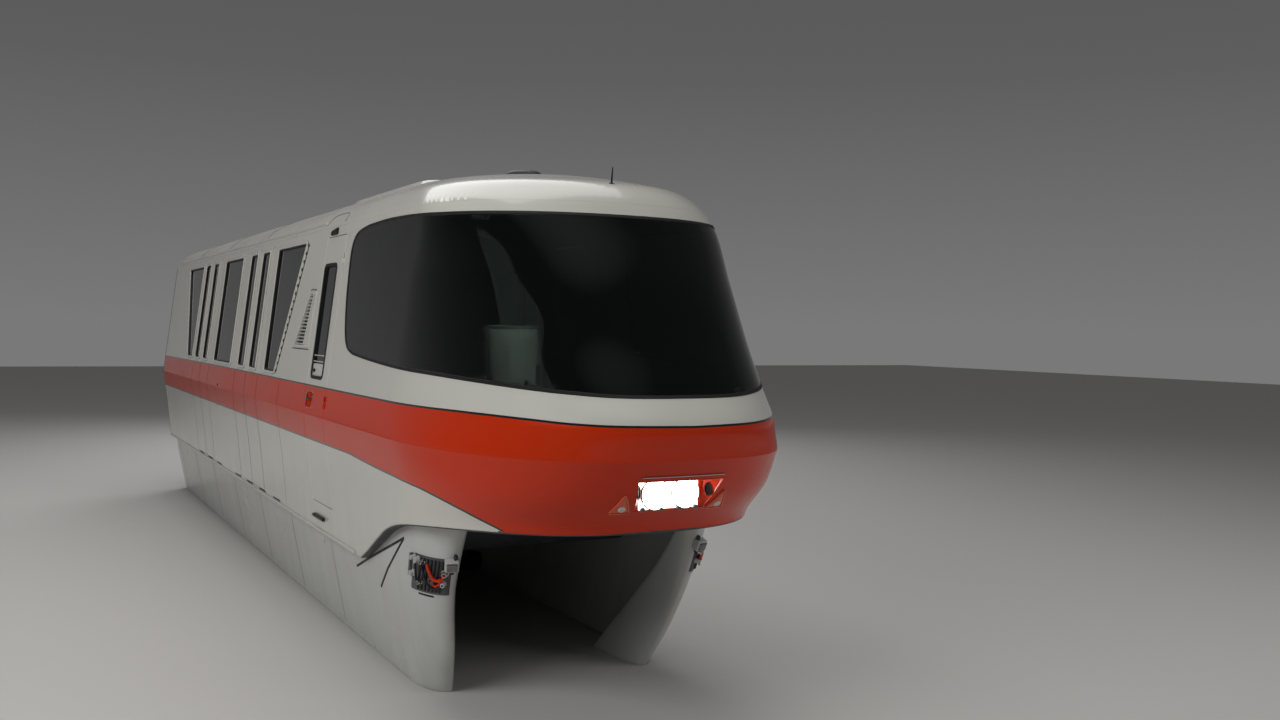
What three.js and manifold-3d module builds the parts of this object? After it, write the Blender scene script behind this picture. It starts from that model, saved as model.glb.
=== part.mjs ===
// Lead car of a straddle-beam monorail train, in millimetres.
// +X points to the nose, +Y to the car's left, +Z up. The origin lies on the car's centre line, halfway
// along its body, in the plane of the beam's top, so the load tyres touch Z = 0.
import * as THREE from 'three';
import { mergeVertices } from 'three/addons/utils/BufferGeometryUtils.js';
import Module from 'manifold-3d';

const wasm = await Module();
wasm.setup();

// Driving dimensions
const DATUM_X = 6650;
const REAR_WALL_X = -7000;
const BELLOWS_X = -7150;
const WALL = 60;
const SEAM = 0.4;
const DOOR_GAP = 6;
const SIDE_TOP = 2530;
const SILL_Z = -110;
const FLOOR_UNDER = 60;
const FLOOR_Z = 140;
const CAB_FLOOR_Z = 520;
const BELLY = 45;
const BEAM_HALF = 330;
const REAR_PANEL = 40;
const FRONT_BOGIE_BACK = 5080;
const REAR_BOGIE_BACK = 12500;
const CAB_DOOR_FRONT = 3450;
const CAB_DOOR_REAR = 4160;
const NOSE_STEPS = 9;
const HORN_POD = { back: 2330, z: 2870, length: 170, half: 160, height: 62 };
const FAIRING = { front: 3300, rear: 5600, half: 520, foot: 2835, top: 2950, slope: 160 };
const JACK = { x: -2000, y: 750, z: 45, half: 90 };
const DRAWBAR = {
  pinBack: 60, pin: 20, pinClear: 1, eye: 50, eyeZ: [235, 275], barHalf: 35, barZ: [240, 270], barReach: [370, 80],
  flangeHalf: 110, flangeZ: [170, 340], flangeReach: [390, 365], earHalf: 60, earReach: 90, earZ: [215, 275], ear: 20,
};
const BELLOWS = { scale: 0.96, fold: 0.02, wall: 0.045, centreZ: 1350, overshoot: 5, lowestHalf: 1190 };
const CAB_FLOOR = { front: 420, rear: 3300, under: 466, riser: 30, lowFrom: 2150 };
const BULKHEAD = { front: 4205, rear: 4250, light: [120, 820], lightZ: [1250, 2200] };
const DESK = { half: 950, front: 520, rear: 1500, lean: 60, shelf: 1250, rearZ: 1120, shelfZ: 1200, frontZ: 1180 };
const SCREEN = { rear: 1180, front: 1080, lefts: [-380, 120], width: 260, z: [1190, 1430] };
const SEAT = {
  back: 2250, post: 90, base: 200, baseHeight: 40, half: 240, halfWidth: 250, z: [890, 1010],
  restZ: [1000, 1720], restLean: 130, restReach: [250, 130], restHalf: 240, postTop: 900,
};
const BENCH = { half: 560, height: 90, halfWidth: 760, restBack: 500, restHalf: 60, restTop: 1180 };
const MIDDLE = { halfWidth: 960, restHalf: 110, panelHalf: 30, restTop: 1160, lap: 1150, cap: 60 };

// A distance behind the datum, a plane across the car just behind the nose tip, as an X coordinate
const behind = (distance) => DATUM_X - distance;

const colours = {
  shell: 0xe9e6dc,
  glass: 0x10161a,
  trim: 0x24272a,
  steel: 0x6d7276,
  tyre: 0x1b1b1c,
  bellows: 0x77808c,
  seat: 0x3a4656,
  floor: 0x7a7a78,
  lamp: 0xf4f4ee,
};

const finish = (colour, roughness = 0.5, metalness = 0) =>
  new THREE.MeshStandardMaterial({ color: colour, roughness, metalness });

// Solids
function solid(geometry) {
  const bare = geometry.clone();
  bare.deleteAttribute('normal');
  bare.deleteAttribute('uv');
  const merged = mergeVertices(bare, 1e-3);
  const mesh = new wasm.Mesh({
    numProp: 3,
    vertProperties: Float32Array.from(merged.attributes.position.array),
    triVerts: Uint32Array.from(merged.index.array),
  });
  return new wasm.Manifold(mesh);
}

function geometryOf(shape) {
  const mesh = shape.getMesh();
  const geometry = new THREE.BufferGeometry();
  geometry.setAttribute('position', new THREE.BufferAttribute(Float32Array.from(mesh.vertProperties), 3));
  geometry.setIndex(new THREE.BufferAttribute(Uint32Array.from(mesh.triVerts), 1));
  geometry.computeVertexNormals();
  return geometry;
}

const joined = (...shapes) => shapes.reduce((whole, shape) => whole.add(shape));

// A box given by its lowest and highest corners
function box([x0, y0, z0], [x1, y1, z1]) {
  const geometry = new THREE.BoxGeometry(x1 - x0, y1 - y0, z1 - z0);
  geometry.translate((x0 + x1) / 2, (y0 + y1) / 2, (z0 + z1) / 2);
  return solid(geometry);
}

// A cylinder along one axis, from start to end on that axis
function rod(axis, radius, start, end, [a, b], sides = 16) {
  const geometry = new THREE.CylinderGeometry(radius, radius, end - start, sides);
  const middle = (start + end) / 2;
  if (axis === 'z') geometry.rotateX(Math.PI / 2).translate(a, b, middle);
  if (axis === 'x') geometry.rotateZ(Math.PI / 2).translate(middle, a, b);
  if (axis === 'y') geometry.translate(a, middle, b);
  return solid(geometry);
}

// A closed solid through a stack of loops that have the same number of points
function loft(loops) {
  const count = loops[0].length;
  const positions = loops.flat(2);
  const index = [];
  for (let level = 0; level + 1 < loops.length; level += 1) {
    for (let i = 0; i < count; i += 1) {
      const a = level * count + i;
      const b = level * count + ((i + 1) % count);
      index.push(a, b, b + count, a, b + count, a + count);
    }
  }
  const flat = capPlane(loops[0]);
  const cap = THREE.ShapeUtils.triangulateShape(flat, []);
  const sample = cap[0].map((i) => flat[i]);
  const sameWay = THREE.ShapeUtils.area(flat) * THREE.ShapeUtils.area(sample) > 0;
  if (!sameWay) cap.forEach((triangle) => triangle.reverse());
  const top = (loops.length - 1) * count;
  for (const [a, b, c] of cap) index.push(c, b, a, top + a, top + b, top + c);
  const geometry = new THREE.BufferGeometry();
  geometry.setAttribute('position', new THREE.Float32BufferAttribute(positions, 3));
  geometry.setIndex(index);
  return solid(turnedOut(geometry));
}

// The loop seen along the axis it spans least
function capPlane(loop) {
  const spans = [0, 1, 2].map((k) => {
    const values = loop.map((point) => point[k]);
    return Math.max(...values) - Math.min(...values);
  });
  const flatAxis = spans.indexOf(Math.min(...spans));
  const [u, v] = [0, 1, 2].filter((k) => k !== flatAxis);
  return loop.map((point) => new THREE.Vector2(point[u], point[v]));
}

// The same mesh with its faces pointing out
function turnedOut(geometry) {
  const p = geometry.attributes.position;
  const index = Array.from(geometry.index.array);
  const corner = (i) => new THREE.Vector3().fromBufferAttribute(p, index[i]);
  let volume = 0;
  for (let i = 0; i < index.length; i += 3) volume += corner(i).dot(corner(i + 1).cross(corner(i + 2)));
  if (volume < 0) index.reverse();
  geometry.setIndex(index);
  return geometry;
}

// A prism across the car, from an outline in the X-Z plane
function acrossCar(outline, y0, y1) {
  return loft([y0, y1].map((y) => outline.map(([x, z]) => [x, y, z])));
}

// The body's surface. Each level is a plan outline: a nose curve that runs back into straight sides.
// Columns: height, half width, nose's front behind the datum, nose length, fullness of the nose curve
const BODY_LEVELS = [
  [-500, 1153, 300, 1500, 2.6],
  [420, 1240, 90, 1500, 2.64],
  [660, 1270, -130, 1580, 2.75],
  [905, 1300, -310, 1880, 2.7],
  [925, 1298, -312, 1890, 2.7],
  [1080, 1279, -345, 2050, 2.6],
  [1300, 1251, -190, 1850, 2.57],
  [1600, 1213, 25, 1600, 2.55],
  [2000, 1163, 262, 1330, 2.46],
  [2440, 1107, 570, 960, 2.32],
  [2530, 1093, 625, 985, 2.28],
  [2600, 1050, 680, 1030, 2.25],
  [2680, 980, 800, 1080, 2.22],
  [2740, 884, 1080, 1190, 2.2],
  [2790, 780, 1380, 1290, 2.2],
  [2830, 640, 1720, 1350, 2.18],
  [2860, 480, 2000, 1380, 2.15],
  [2880, 330, 2220, 1290, 2.1],
  [2893, 170, 2450, 1150, 2.0],
];

// The plan outline of one level, moved inwards by an offset
function planOutline([, halfWidth, setback, length, fullness], inward, rearX) {
  const width = halfWidth - inward;
  const baseX = behind(setback + length);
  const reach = length - inward;
  const half = [];
  for (let i = 0; i <= NOSE_STEPS; i += 1) {
    const angle = (i / NOSE_STEPS) * (Math.PI / 2);
    const y = width * Math.sin(angle) ** (2 / fullness);
    half.push([baseX + reach * Math.cos(angle), y]);
  }
  const left = half.map(([x, y]) => [x, y]);
  const right = half.slice(1).map(([x, y]) => [x, -y]).reverse();
  return [[rearX, -width], ...right, ...left, [rearX, width]];
}

function bodySolid(inward, rearX) {
  const loops = BODY_LEVELS.map((level) => {
    const z = level[0] > SIDE_TOP ? level[0] - inward : level[0];
    return planOutline(level, inward, rearX).map(([x, y]) => [x, y, z]);
  });
  return loft(loops);
}

// The body's lower edge rises towards the nose. Columns: distance behind the datum, height
const BELLY_EDGE = [
  [2750, -140],
  [2480, -20],
  [2160, 130],
  [1940, 225],
  [1670, 300],
  [1400, 345],
  [1000, 385],
  [600, 410],
  [200, 420],
];

const CAR_SPAN = 2000;
function underNose(raised) {
  const edge = BELLY_EDGE.map(([back, z]) => [behind(back + raised), z + raised]);
  const first = edge[0];
  const [low, ahead] = [-1200, behind(-900)];
  const outline = [[first[0], low], ...edge, [ahead, BELLY_EDGE.at(-1)[1] + raised], [ahead, low]];
  return acrossCar(outline, -CAR_SPAN, CAR_SPAN);
}

const far = 9000;
const BEAM_ROOM_HALF = 1000;
const PAST_REAR = REAR_WALL_X - 500;
const JUST_PAST_REAR = REAR_WALL_X - 10;
const slab = ([x0, x1], [z0, z1], [y0, y1] = [-far, far]) => box([x0, y0, z0], [x1, y1, z1]);

const beamRoom = slab([-far, far], [-far, FLOOR_UNDER], [-BEAM_ROOM_HALF, BEAM_ROOM_HALF]);
const outerBody = bodySolid(0, REAR_WALL_X).intersect(slab([-far, far], [SILL_Z, far]));
const innerBody = bodySolid(WALL, PAST_REAR);
const roomBody = bodySolid(WALL + SEAM, PAST_REAR);
const besideBeam = slab([-far, far], [-far, FLOOR_UNDER]);
const shell = outerBody
  .subtract(underNose(0))
  .subtract(innerBody.subtract(underNose(BELLY)))
  .subtract(innerBody.intersect(besideBeam));

// Windows. Columns: name, bottom front, bottom rear, top front, top rear (behind the datum), bottom, top
const WINDOWS = [
  ['front', 5560, 6030, 4840, 6060, 1220, 2430],
  ['middle', 7980, 9120, 7980, 9120, 1220, 2430],
  ['rear', 10900, 11330, 10880, 12150, 1220, 2430],
];
const LEAF_WINDOW = [1220, 2430];
const PANE_RECESS = 14;
const PANE = 10;
const BEDDING = 4;

// Passenger door leaves. Columns: name, front edge, rear edge, window front, window rear
const DOOR_LEAVES = [
  ['front_door_fore', 6320, 6970, 6490, 6840],
  ['front_door_aft', 6970, 7620, 7140, 7490],
  ['rear_door_fore', 9450, 10100, 9650, 10000],
  ['rear_door_aft', 10100, 10750, 10290, 10640],
];
const LEAF_Z = [-60, 2470];

const sides = [
  ['left', 1],
  ['right', -1],
];

// A prism through one side wall, from an outline in the X-Z plane
const SIDE_SPAN = [650, 1500];
const throughSide = (outline, side) => acrossCar(outline, side * SIDE_SPAN[0], side * SIDE_SPAN[1]);

function windowOutline([, bottomFront, bottomRear, topFront, topRear, z0, z1], shrink) {
  return [
    [behind(bottomFront) - shrink, z0 + shrink],
    [behind(topFront) - shrink, z1 - shrink],
    [behind(topRear) + shrink, z1 - shrink],
    [behind(bottomRear) + shrink, z0 + shrink],
  ];
}

const rectangle = (front, rear, z0, z1, shrink = 0) => windowOutline(['', front, rear, front, rear, z0, z1], shrink);

const paneLayer = bodySolid(PANE_RECESS, REAR_WALL_X).subtract(bodySolid(PANE_RECESS + PANE, JUST_PAST_REAR));

// The windshield's outline in side view. Columns: distance behind the datum, height
const WINDSHIELD = [
  [-800, 1268],
  [-190, 1284],
  [0, 1304],
  [500, 1350],
  [1000, 1380],
  [1500, 1398],
  [1900, 1414],
  [2400, 1440],
  [2800, 1468],
  [2950, 1496],
  [3040, 1550],
  [3100, 1640],
  [3150, 1760],
  [3200, 1930],
  [3225, 2130],
  [3235, 2290],
  [3190, 2385],
  [3080, 2440],
  [2790, 2466],
  [2300, 2476],
  [1900, 2470],
  [1200, 2445],
  [570, 2437],
  [-800, 2430],
];
const WINDSHIELD_THICKNESS = 22;
const WINDSHIELD_MIDDLE = [1400, 1950];

function windshieldPrism(shrink) {
  const centre = WINDSHIELD_MIDDLE;
  const outline = WINDSHIELD.map(([back, z]) => {
    const dx = back - centre[0];
    const dz = z - centre[1];
    const scale = 1 - shrink / Math.hypot(dx, dz);
    return [behind(centre[0] + dx * scale), centre[1] + dz * scale];
  });
  return acrossCar(outline, -CAR_SPAN, CAR_SPAN);
}

// Cab doors. Each hangs at its front edge on an axis that lies along the leaning upper wall.
const DOOR_LEAN = 0.1259;
const CAB_DOOR_Z = [150, 2440];
const CAB_DOOR_SHY = 7;
const REAR_BEVEL = 0.42;
const BEVEL_REFERENCE = 1300;
const HINGE_PROUD = 8;
const wallY = (z) => 1299 - (z - 913) * DOOR_LEAN;
const HINGE_X = behind(CAB_DOOR_FRONT) - DOOR_GAP / 2;

function cabDoorBlock(side, grow) {
  const rearX = (y) => behind(CAB_DOOR_REAR) + (BEVEL_REFERENCE - y) * REAR_BEVEL - grow;
  const frontX = behind(CAB_DOOR_FRONT) - DOOR_GAP + grow;
  const topZ = (y) => CAB_DOOR_Z[1] + (y - wallY(CAB_DOOR_Z[1])) * DOOR_LEAN + grow;
  const lowZ = CAB_DOOR_Z[0] - grow;
  return loft(SIDE_SPAN.map((y) => [
    [frontX, side * y, lowZ],
    [frontX, side * y, topZ(y)],
    [rearX(y), side * y, topZ(y)],
    [rearX(y), side * y, lowZ],
  ]));
}

// A barrel on the leaning hinge line, between two heights
function hingeBarrel(side, z0, z1, radius) {
  const at = (z) => new THREE.Vector3(HINGE_X, side * (wallY(z) + HINGE_PROUD), z);
  const line = new THREE.Vector3().subVectors(at(z1), at(z0));
  const geometry = new THREE.CylinderGeometry(radius, radius, line.length(), 12);
  geometry.applyQuaternion(new THREE.Quaternion().setFromUnitVectors(new THREE.Vector3(0, 1, 0), line.normalize()));
  const middle = at((z0 + z1) / 2);
  geometry.translate(middle.x, middle.y, middle.z);
  return solid(geometry);
}

// A plate that joins a barrel to the panel ahead of it or behind it
function hingeLeaf(side, z0, z1, x0, x1) {
  const depth = 22;
  return loft([z0, z1].map((z) => {
    const y = wallY(z) + HINGE_PROUD;
    return [
      [x0, side * y, z],
      [x1, side * y, z],
      [x1, side * (y - depth), z],
      [x0, side * (y - depth), z],
    ];
  }));
}

const HINGES = [1040, 2240];
const KNUCKLE = 60;
const BARREL = 10;
const LEAF_REACH = 70;
const KNUCKLE_GAP = 4;
const doorKnuckles = (side) => HINGES.flatMap((z) => [
  hingeBarrel(side, z + KNUCKLE_GAP, z + KNUCKLE, BARREL),
  hingeLeaf(side, z + KNUCKLE_GAP, z + KNUCKLE, HINGE_X - LEAF_REACH, HINGE_X),
]);
const pillarKnuckles = (side) => HINGES.flatMap((z) => [
  hingeBarrel(side, z - KNUCKLE, z, BARREL),
  hingeLeaf(side, z - KNUCKLE, z, HINGE_X, HINGE_X + LEAF_REACH),
]);
// Clear room round the other panel's barrels
const BARREL_ROOM = 6;
const roomForPillar = (side) =>
  HINGES.map((z) => hingeBarrel(side, z - KNUCKLE - BARREL_ROOM, z + SEAM, BARREL + BARREL_ROOM));
const roomForDoor = (side) =>
  HINGES.map((z) => hingeBarrel(side, z, z + KNUCKLE + BARREL_ROOM, BARREL + BARREL_ROOM));
const without = (shape, cutters) => cutters.reduce((rest, cutter) => rest.subtract(cutter), shape);

// The list of finished pieces
const pieces = [];
const place = (name, shape, material) => pieces.push([name, shape, material]);

const paint = finish(colours.shell, 0.3);
const darkGlass = finish(colours.glass, 0.08);
const trim = finish(colours.trim, 0.6);
const steel = finish(colours.steel, 0.45, 0.7);
const rubber = finish(colours.tyre, 0.9);

// Headlamps in the nose
const LAMP_Z = [570, 765];
const LAMP_HALF = 245;
const LAMP_POCKET_BACK = 60;
const LAMP_FRONT = -75;
const LAMP = { radius: 88, y: 108, sunk: 20, proud: 30 };
const POCKET_WALL = 25;

function headlampUnit() {
  const front = behind(LAMP_FRONT);
  const housing = box(
    [behind(LAMP_POCKET_BACK) + SEAM, -LAMP_HALF + SEAM, LAMP_Z[0] + SEAM],
    [front, LAMP_HALF - SEAM, LAMP_Z[1] - SEAM],
  );
  const middle = (LAMP_Z[0] + LAMP_Z[1]) / 2;
  const lamps = [-1, 1].map((side) =>
    rod('x', LAMP.radius, front - LAMP.sunk, front + LAMP.proud, [side * LAMP.y, middle], 20));
  return joined(housing, ...lamps);
}

// The nose: one moulding from the cab doors forward, with the windshield's opening
function noseShell() {
  const area = slab([behind(CAB_DOOR_FRONT) + SEAM / 2, far], [-far, SIDE_TOP - SEAM / 2]);
  const pocket = slab([behind(LAMP_POCKET_BACK), far], LAMP_Z, [-LAMP_HALF, LAMP_HALF]);
  const pocketWall = outerBody.intersect(
    slab(
      [behind(LAMP_POCKET_BACK + POCKET_WALL), far],
      [LAMP_Z[0] - POCKET_WALL, LAMP_Z[1] + POCKET_WALL],
      [-LAMP_HALF - POCKET_WALL, LAMP_HALF + POCKET_WALL],
    ),
  );
  const bare = shell.intersect(area).add(pocketWall).subtract(pocket).subtract(windshieldPrism(0));
  const relieved = without(bare, sides.flatMap(([, side]) => roomForDoor(side)));
  return joined(relieved, ...sides.flatMap(([, side]) => pillarKnuckles(side)));
}

function windshield() {
  const layer = outerBody.subtract(bodySolid(WINDSHIELD_THICKNESS, JUST_PAST_REAR));
  return layer.intersect(windshieldPrism(SEAM));
}

function roof() {
  const panel = shell.intersect(slab([REAR_WALL_X + REAR_PANEL + SEAM, far], [SIDE_TOP + SEAM / 2, far]));
  const level = (z, inset) => [
    [behind(FAIRING.front + inset), -FAIRING.half + inset / 2, z],
    [behind(FAIRING.front + inset), FAIRING.half - inset / 2, z],
    [behind(FAIRING.rear - inset), FAIRING.half - inset / 2, z],
    [behind(FAIRING.rear - inset), -FAIRING.half + inset / 2, z],
  ];
  const fairing = loft([level(FAIRING.foot, 0), level(FAIRING.top, FAIRING.slope)]);
  return panel.add(fairing.subtract(innerBody));
}

function hornPod() {
  const geometry = new THREE.SphereGeometry(1, 20, 8);
  geometry.scale(HORN_POD.length, HORN_POD.half, HORN_POD.height).translate(behind(HORN_POD.back), 0, HORN_POD.z);
  return solid(geometry).subtract(bodySolid(-SEAM, REAR_WALL_X));
}

function sideWall(side) {
  const y = side > 0 ? [1, far] : [-far, -1];
  const ends = [REAR_WALL_X + REAR_PANEL + SEAM, behind(CAB_DOOR_FRONT) - SEAM / 2];
  const area = slab(ends, [-far, SIDE_TOP - SEAM / 2], y);
  let wall = shell.intersect(area);
  for (const row of WINDOWS) wall = wall.subtract(throughSide(windowOutline(row, 0), side));
  for (let i = 0; i < DOOR_LEAVES.length; i += 2) {
    const doorway = rectangle(DOOR_LEAVES[i][1], DOOR_LEAVES[i + 1][2], ...LEAF_Z);
    wall = wall.subtract(throughSide(doorway, side));
  }
  return wall.subtract(cabDoorBlock(side, DOOR_GAP)).subtract(louvreRecess(side));
}

function doorLeaf([, front, rear, windowFront, windowRear], side) {
  const panel = shell.intersect(throughSide(rectangle(front, rear, ...LEAF_Z, SEAM), side));
  const light = throughSide(rectangle(windowFront, windowRear, ...LEAF_WINDOW), side);
  const pane = throughSide(rectangle(windowFront, windowRear, ...LEAF_WINDOW, -BEDDING), side);
  return panel.subtract(light).add(paneLayer.intersect(pane));
}

const LOUVRE = [
  [4270, 1490],
  [4270, 1990],
  [4420, 1990],
  [4820, 1490],
];
const LOUVRE_DEPTH = 25;
const louvreRecess = (side) => throughSide(LOUVRE.map(([back, z]) => [behind(back), z]), side)
  .subtract(bodySolid(LOUVRE_DEPTH, JUST_PAST_REAR));

const CAB_WINDOW = [3640, 4040, 1230, 2200];
function cabDoor(side) {
  const light = throughSide(rectangle(...CAB_WINDOW), side);
  const thinned = bodySolid(WALL - CAB_DOOR_SHY, JUST_PAST_REAR);
  const panel = shell.intersect(cabDoorBlock(side, 0)).subtract(thinned).subtract(light);
  return joined(without(panel, roomForPillar(side)), ...doorKnuckles(side));
}

function rearWall() {
  const end = outerBody.intersect(slab([REAR_WALL_X, REAR_WALL_X + REAR_PANEL], [-far, far]));
  const panel = end.subtract(beamRoom);
  const ears = DRAWBAR.earZ.map((z) => box(
    [REAR_WALL_X - DRAWBAR.earReach, -DRAWBAR.earHalf, z],
    [REAR_WALL_X + 1, DRAWBAR.earHalf, z + DRAWBAR.ear],
  ));
  const pinZ = [DRAWBAR.earZ[0] + 1, DRAWBAR.earZ[1] + DRAWBAR.ear - 1];
  return joined(panel, ...ears, rod('z', DRAWBAR.pin, ...pinZ, [REAR_WALL_X - DRAWBAR.pinBack, 0]));
}

// Drawbar to the next car, on an upright pin
function drawbar() {
  const pinAt = [REAR_WALL_X - DRAWBAR.pinBack, 0];
  const [eyeLow, eyeHigh] = DRAWBAR.eyeZ;
  const eye = rod('z', DRAWBAR.eye, eyeLow + SEAM, eyeHigh - SEAM, pinAt, 20);
  const between = ([reachBack, reachFront], half, [z0, z1]) =>
    box([REAR_WALL_X - reachBack, -half, z0], [REAR_WALL_X - reachFront, half, z1]);
  const bar = between(DRAWBAR.barReach, DRAWBAR.barHalf, DRAWBAR.barZ);
  const flange = between(DRAWBAR.flangeReach, DRAWBAR.flangeHalf, DRAWBAR.flangeZ);
  return joined(eye, bar, flange).subtract(rod('z', DRAWBAR.pin + DRAWBAR.pinClear, 0, 500, pinAt, 20));
}

// The folded band between two cars
function bellows() {
  const ribs = [0, 30, 60, 90, 120, 150];
  const { scale: size, fold, wall: thickness, centreZ, overshoot: past } = BELLOWS;
  const section = (scale, x) => {
    const lowest = [SILL_Z, BELLOWS.lowestHalf];
    const right = [lowest, ...BODY_LEVELS.slice(1)]
      .map(([z, halfWidth]) => [x, halfWidth * scale, centreZ + (z - centreZ) * scale]);
    const left = right.map(([, y, z]) => [x, -y, z]).reverse();
    return [...right, ...left];
  };
  const ring = (outer, wall, x0, x1, overshoot) => loft(
    ribs.map((x, i) => section((i % 2 ? outer : outer + fold) - wall, x0 - (x / ribs.at(-1)) * (x0 - x1))
      .map(([px, y, z]) => [px + (i === 0 ? overshoot : 0) - (i === ribs.length - 1 ? overshoot : 0), y, z])),
  );
  const x0 = REAR_WALL_X - SEAM;
  const outside = ring(size, 0, x0, BELLOWS_X, 0);
  return outside.subtract(ring(size, thickness, x0, BELLOWS_X, past)).subtract(beamRoom);
}

// Floor, with a covered well over each bogie, the cab's raised floor and the bench plinths
const WELL_HALF_LENGTH = 800;
const WELL_HALF_WIDTH = 780;
const WELL_TOP = 600;
const TUNNEL_HALF = 260;
const TUNNEL_TOP = 930;
const SHEET = 20;
const bogies = [
  ['front', behind(FRONT_BOGIE_BACK)],
  ['rear', behind(REAR_BOGIE_BACK)],
];
const PLINTH = { front: 7960, rear: 9120, half: 1000, top: 560, back: 8540, backTop: 1180 };
const PLINTH_BACK_HALF = MIDDLE.panelHalf;

function cabDeck(nestle) {
  const rear = behind(CAB_FLOOR.rear);
  const deck = slab([rear, behind(CAB_FLOOR.front)], [CAB_FLOOR.under, CAB_FLOOR_Z]);
  const riser = slab([rear, rear + CAB_FLOOR.riser], [FLOOR_Z - 1, CAB_FLOOR_Z]);
  return [deck, riser].map((part) => nestle.intersect(part));
}

function plinth() {
  const across = [-PLINTH.half, PLINTH.half];
  const middle = behind(PLINTH.back);
  const backEnds = [middle - PLINTH_BACK_HALF, middle + PLINTH_BACK_HALF];
  return joined(
    slab([behind(PLINTH.rear), behind(PLINTH.front)], [FLOOR_Z - 1, PLINTH.top], across),
    slab(backEnds, [FLOOR_Z - 1, PLINTH.backTop], across),
  );
}

// The room over a bogie: a low cover with a higher tunnel for the load wheel along its middle
function wellRoom(x, inset, low) {
  const ends = [x - WELL_HALF_LENGTH + inset, x + WELL_HALF_LENGTH - inset];
  const wide = WELL_HALF_WIDTH - inset;
  const narrow = TUNNEL_HALF - inset;
  return joined(
    slab(ends, [low, WELL_TOP - inset], [-wide, wide]),
    slab(ends, [Math.max(low, 0), TUNNEL_TOP - inset], [-narrow, narrow]),
  );
}

function floorPan() {
  const nestle = roomBody.subtract(underNose(BELLY + SEAM));
  const lowFloor = [REAR_WALL_X + REAR_PANEL + SEAM, behind(CAB_FLOOR.lowFrom)];
  let pan = joined(nestle.intersect(slab(lowFloor, [FLOOR_UNDER, FLOOR_Z])), ...cabDeck(nestle));
  pan = pan.add(plinth().intersect(roomBody));
  for (const y of [-JACK.y, JACK.y]) {
    const low = [JACK.x - JACK.half, y - JACK.half, JACK.z];
    pan = pan.add(box(low, [JACK.x + JACK.half, y + JACK.half, FLOOR_UNDER + 1]));
  }
  for (const [, x] of bogies) pan = pan.add(wellRoom(x, 0, FLOOR_UNDER)).subtract(wellRoom(x, SHEET, -far));
  return pan;
}

function cabBulkhead() {
  const across = slab([behind(BULKHEAD.rear), behind(BULKHEAD.front)], [FLOOR_Z + SEAM, SIDE_TOP - SEAM]);
  const through = [behind(BULKHEAD.rear) - WALL, behind(BULKHEAD.front) + WALL];
  const lights = [-1, 1].map((side) => {
    const y = BULKHEAD.light.map((value) => side * value).sort((a, b) => a - b);
    return slab(through, BULKHEAD.lightZ, y);
  });
  return without(roomBody.intersect(across), lights);
}

function driverDesk() {
  const foot = CAB_FLOOR_Z + SEAM;
  const outline = [
    [behind(DESK.rear), foot],
    [behind(DESK.rear + DESK.lean), DESK.rearZ],
    [behind(DESK.shelf), DESK.shelfZ],
    [behind(DESK.front), DESK.frontZ],
    [behind(DESK.front), foot],
  ];
  const desk = acrossCar(outline, -DESK.half, DESK.half).intersect(roomBody);
  const screens = SCREEN.lefts.map((y) => {
    const low = [behind(SCREEN.rear), y, SCREEN.z[0]];
    return box(low, [behind(SCREEN.front), y + SCREEN.width, SCREEN.z[1]]);
  });
  return joined(desk, ...screens);
}

function driverSeat() {
  const x = behind(SEAT.back);
  const foot = CAB_FLOOR_Z + SEAM;
  const pedestal = rod('z', SEAT.post, foot, SEAT.postTop, [x, 0]);
  const base = box([x - SEAT.base, -SEAT.base, foot], [x + SEAT.base, SEAT.base, CAB_FLOOR_Z + SEAT.baseHeight]);
  const cushion = box([x - SEAT.half, -SEAT.halfWidth, SEAT.z[0]], [x + SEAT.half, SEAT.halfWidth, SEAT.z[1]]);
  const [rear, front] = SEAT.restReach;
  const leans = [0, SEAT.restLean];
  const rest = loft(SEAT.restZ.map((z, i) => [
    [x - rear - leans[i], -SEAT.restHalf, z],
    [x - front - leans[i], -SEAT.restHalf, z],
    [x - front - leans[i], SEAT.restHalf, z],
    [x - rear - leans[i], SEAT.restHalf, z],
  ]));
  return joined(pedestal, base, cushion, rest);
}

// Bench cushions, one piece on each plinth
function wellCushion(x, facing) {
  const across = [-BENCH.halfWidth, BENCH.halfWidth];
  const seat = slab([x - BENCH.half, x + BENCH.half], [WELL_TOP + SEAM, WELL_TOP + BENCH.height], across);
  const restX = x - facing * BENCH.restBack;
  const rest = slab([restX - BENCH.restHalf, restX + BENCH.restHalf], [WELL_TOP + SEAM, BENCH.restTop], across);
  const overTunnel = (top) => slab(
    [x - BENCH.half - 1, x + BENCH.half + 1],
    [0, top],
    [-TUNNEL_HALF - 2, TUNNEL_HALF + 2],
  );
  return joined(seat.subtract(overTunnel(far)), rest.subtract(overTunnel(TUNNEL_TOP + SEAM)));
}

function middleCushion() {
  const across = [-MIDDLE.halfWidth, MIDDLE.halfWidth];
  const middle = behind(PLINTH.back);
  const restEnds = [middle - MIDDLE.restHalf, middle + MIDDLE.restHalf];
  const panelEnds = [middle - MIDDLE.panelHalf - SEAM, middle + MIDDLE.panelHalf + SEAM];
  const top = PLINTH.backTop + MIDDLE.cap;
  const seat = slab([behind(PLINTH.rear), behind(PLINTH.front)], [PLINTH.top + SEAM, PLINTH.top + BENCH.height], across);
  const rests = slab(restEnds, [PLINTH.top + 1, MIDDLE.restTop], across);
  const rim = slab(restEnds, [MIDDLE.lap, top], across);
  const panel = slab(panelEnds, [0, PLINTH.backTop + SEAM], [-PLINTH.half - 1, PLINTH.half + 1]);
  const cap = slab(restEnds, [PLINTH.backTop + SEAM, top], across);
  return joined(seat, rests, rim).subtract(panel).add(cap);
}

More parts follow.
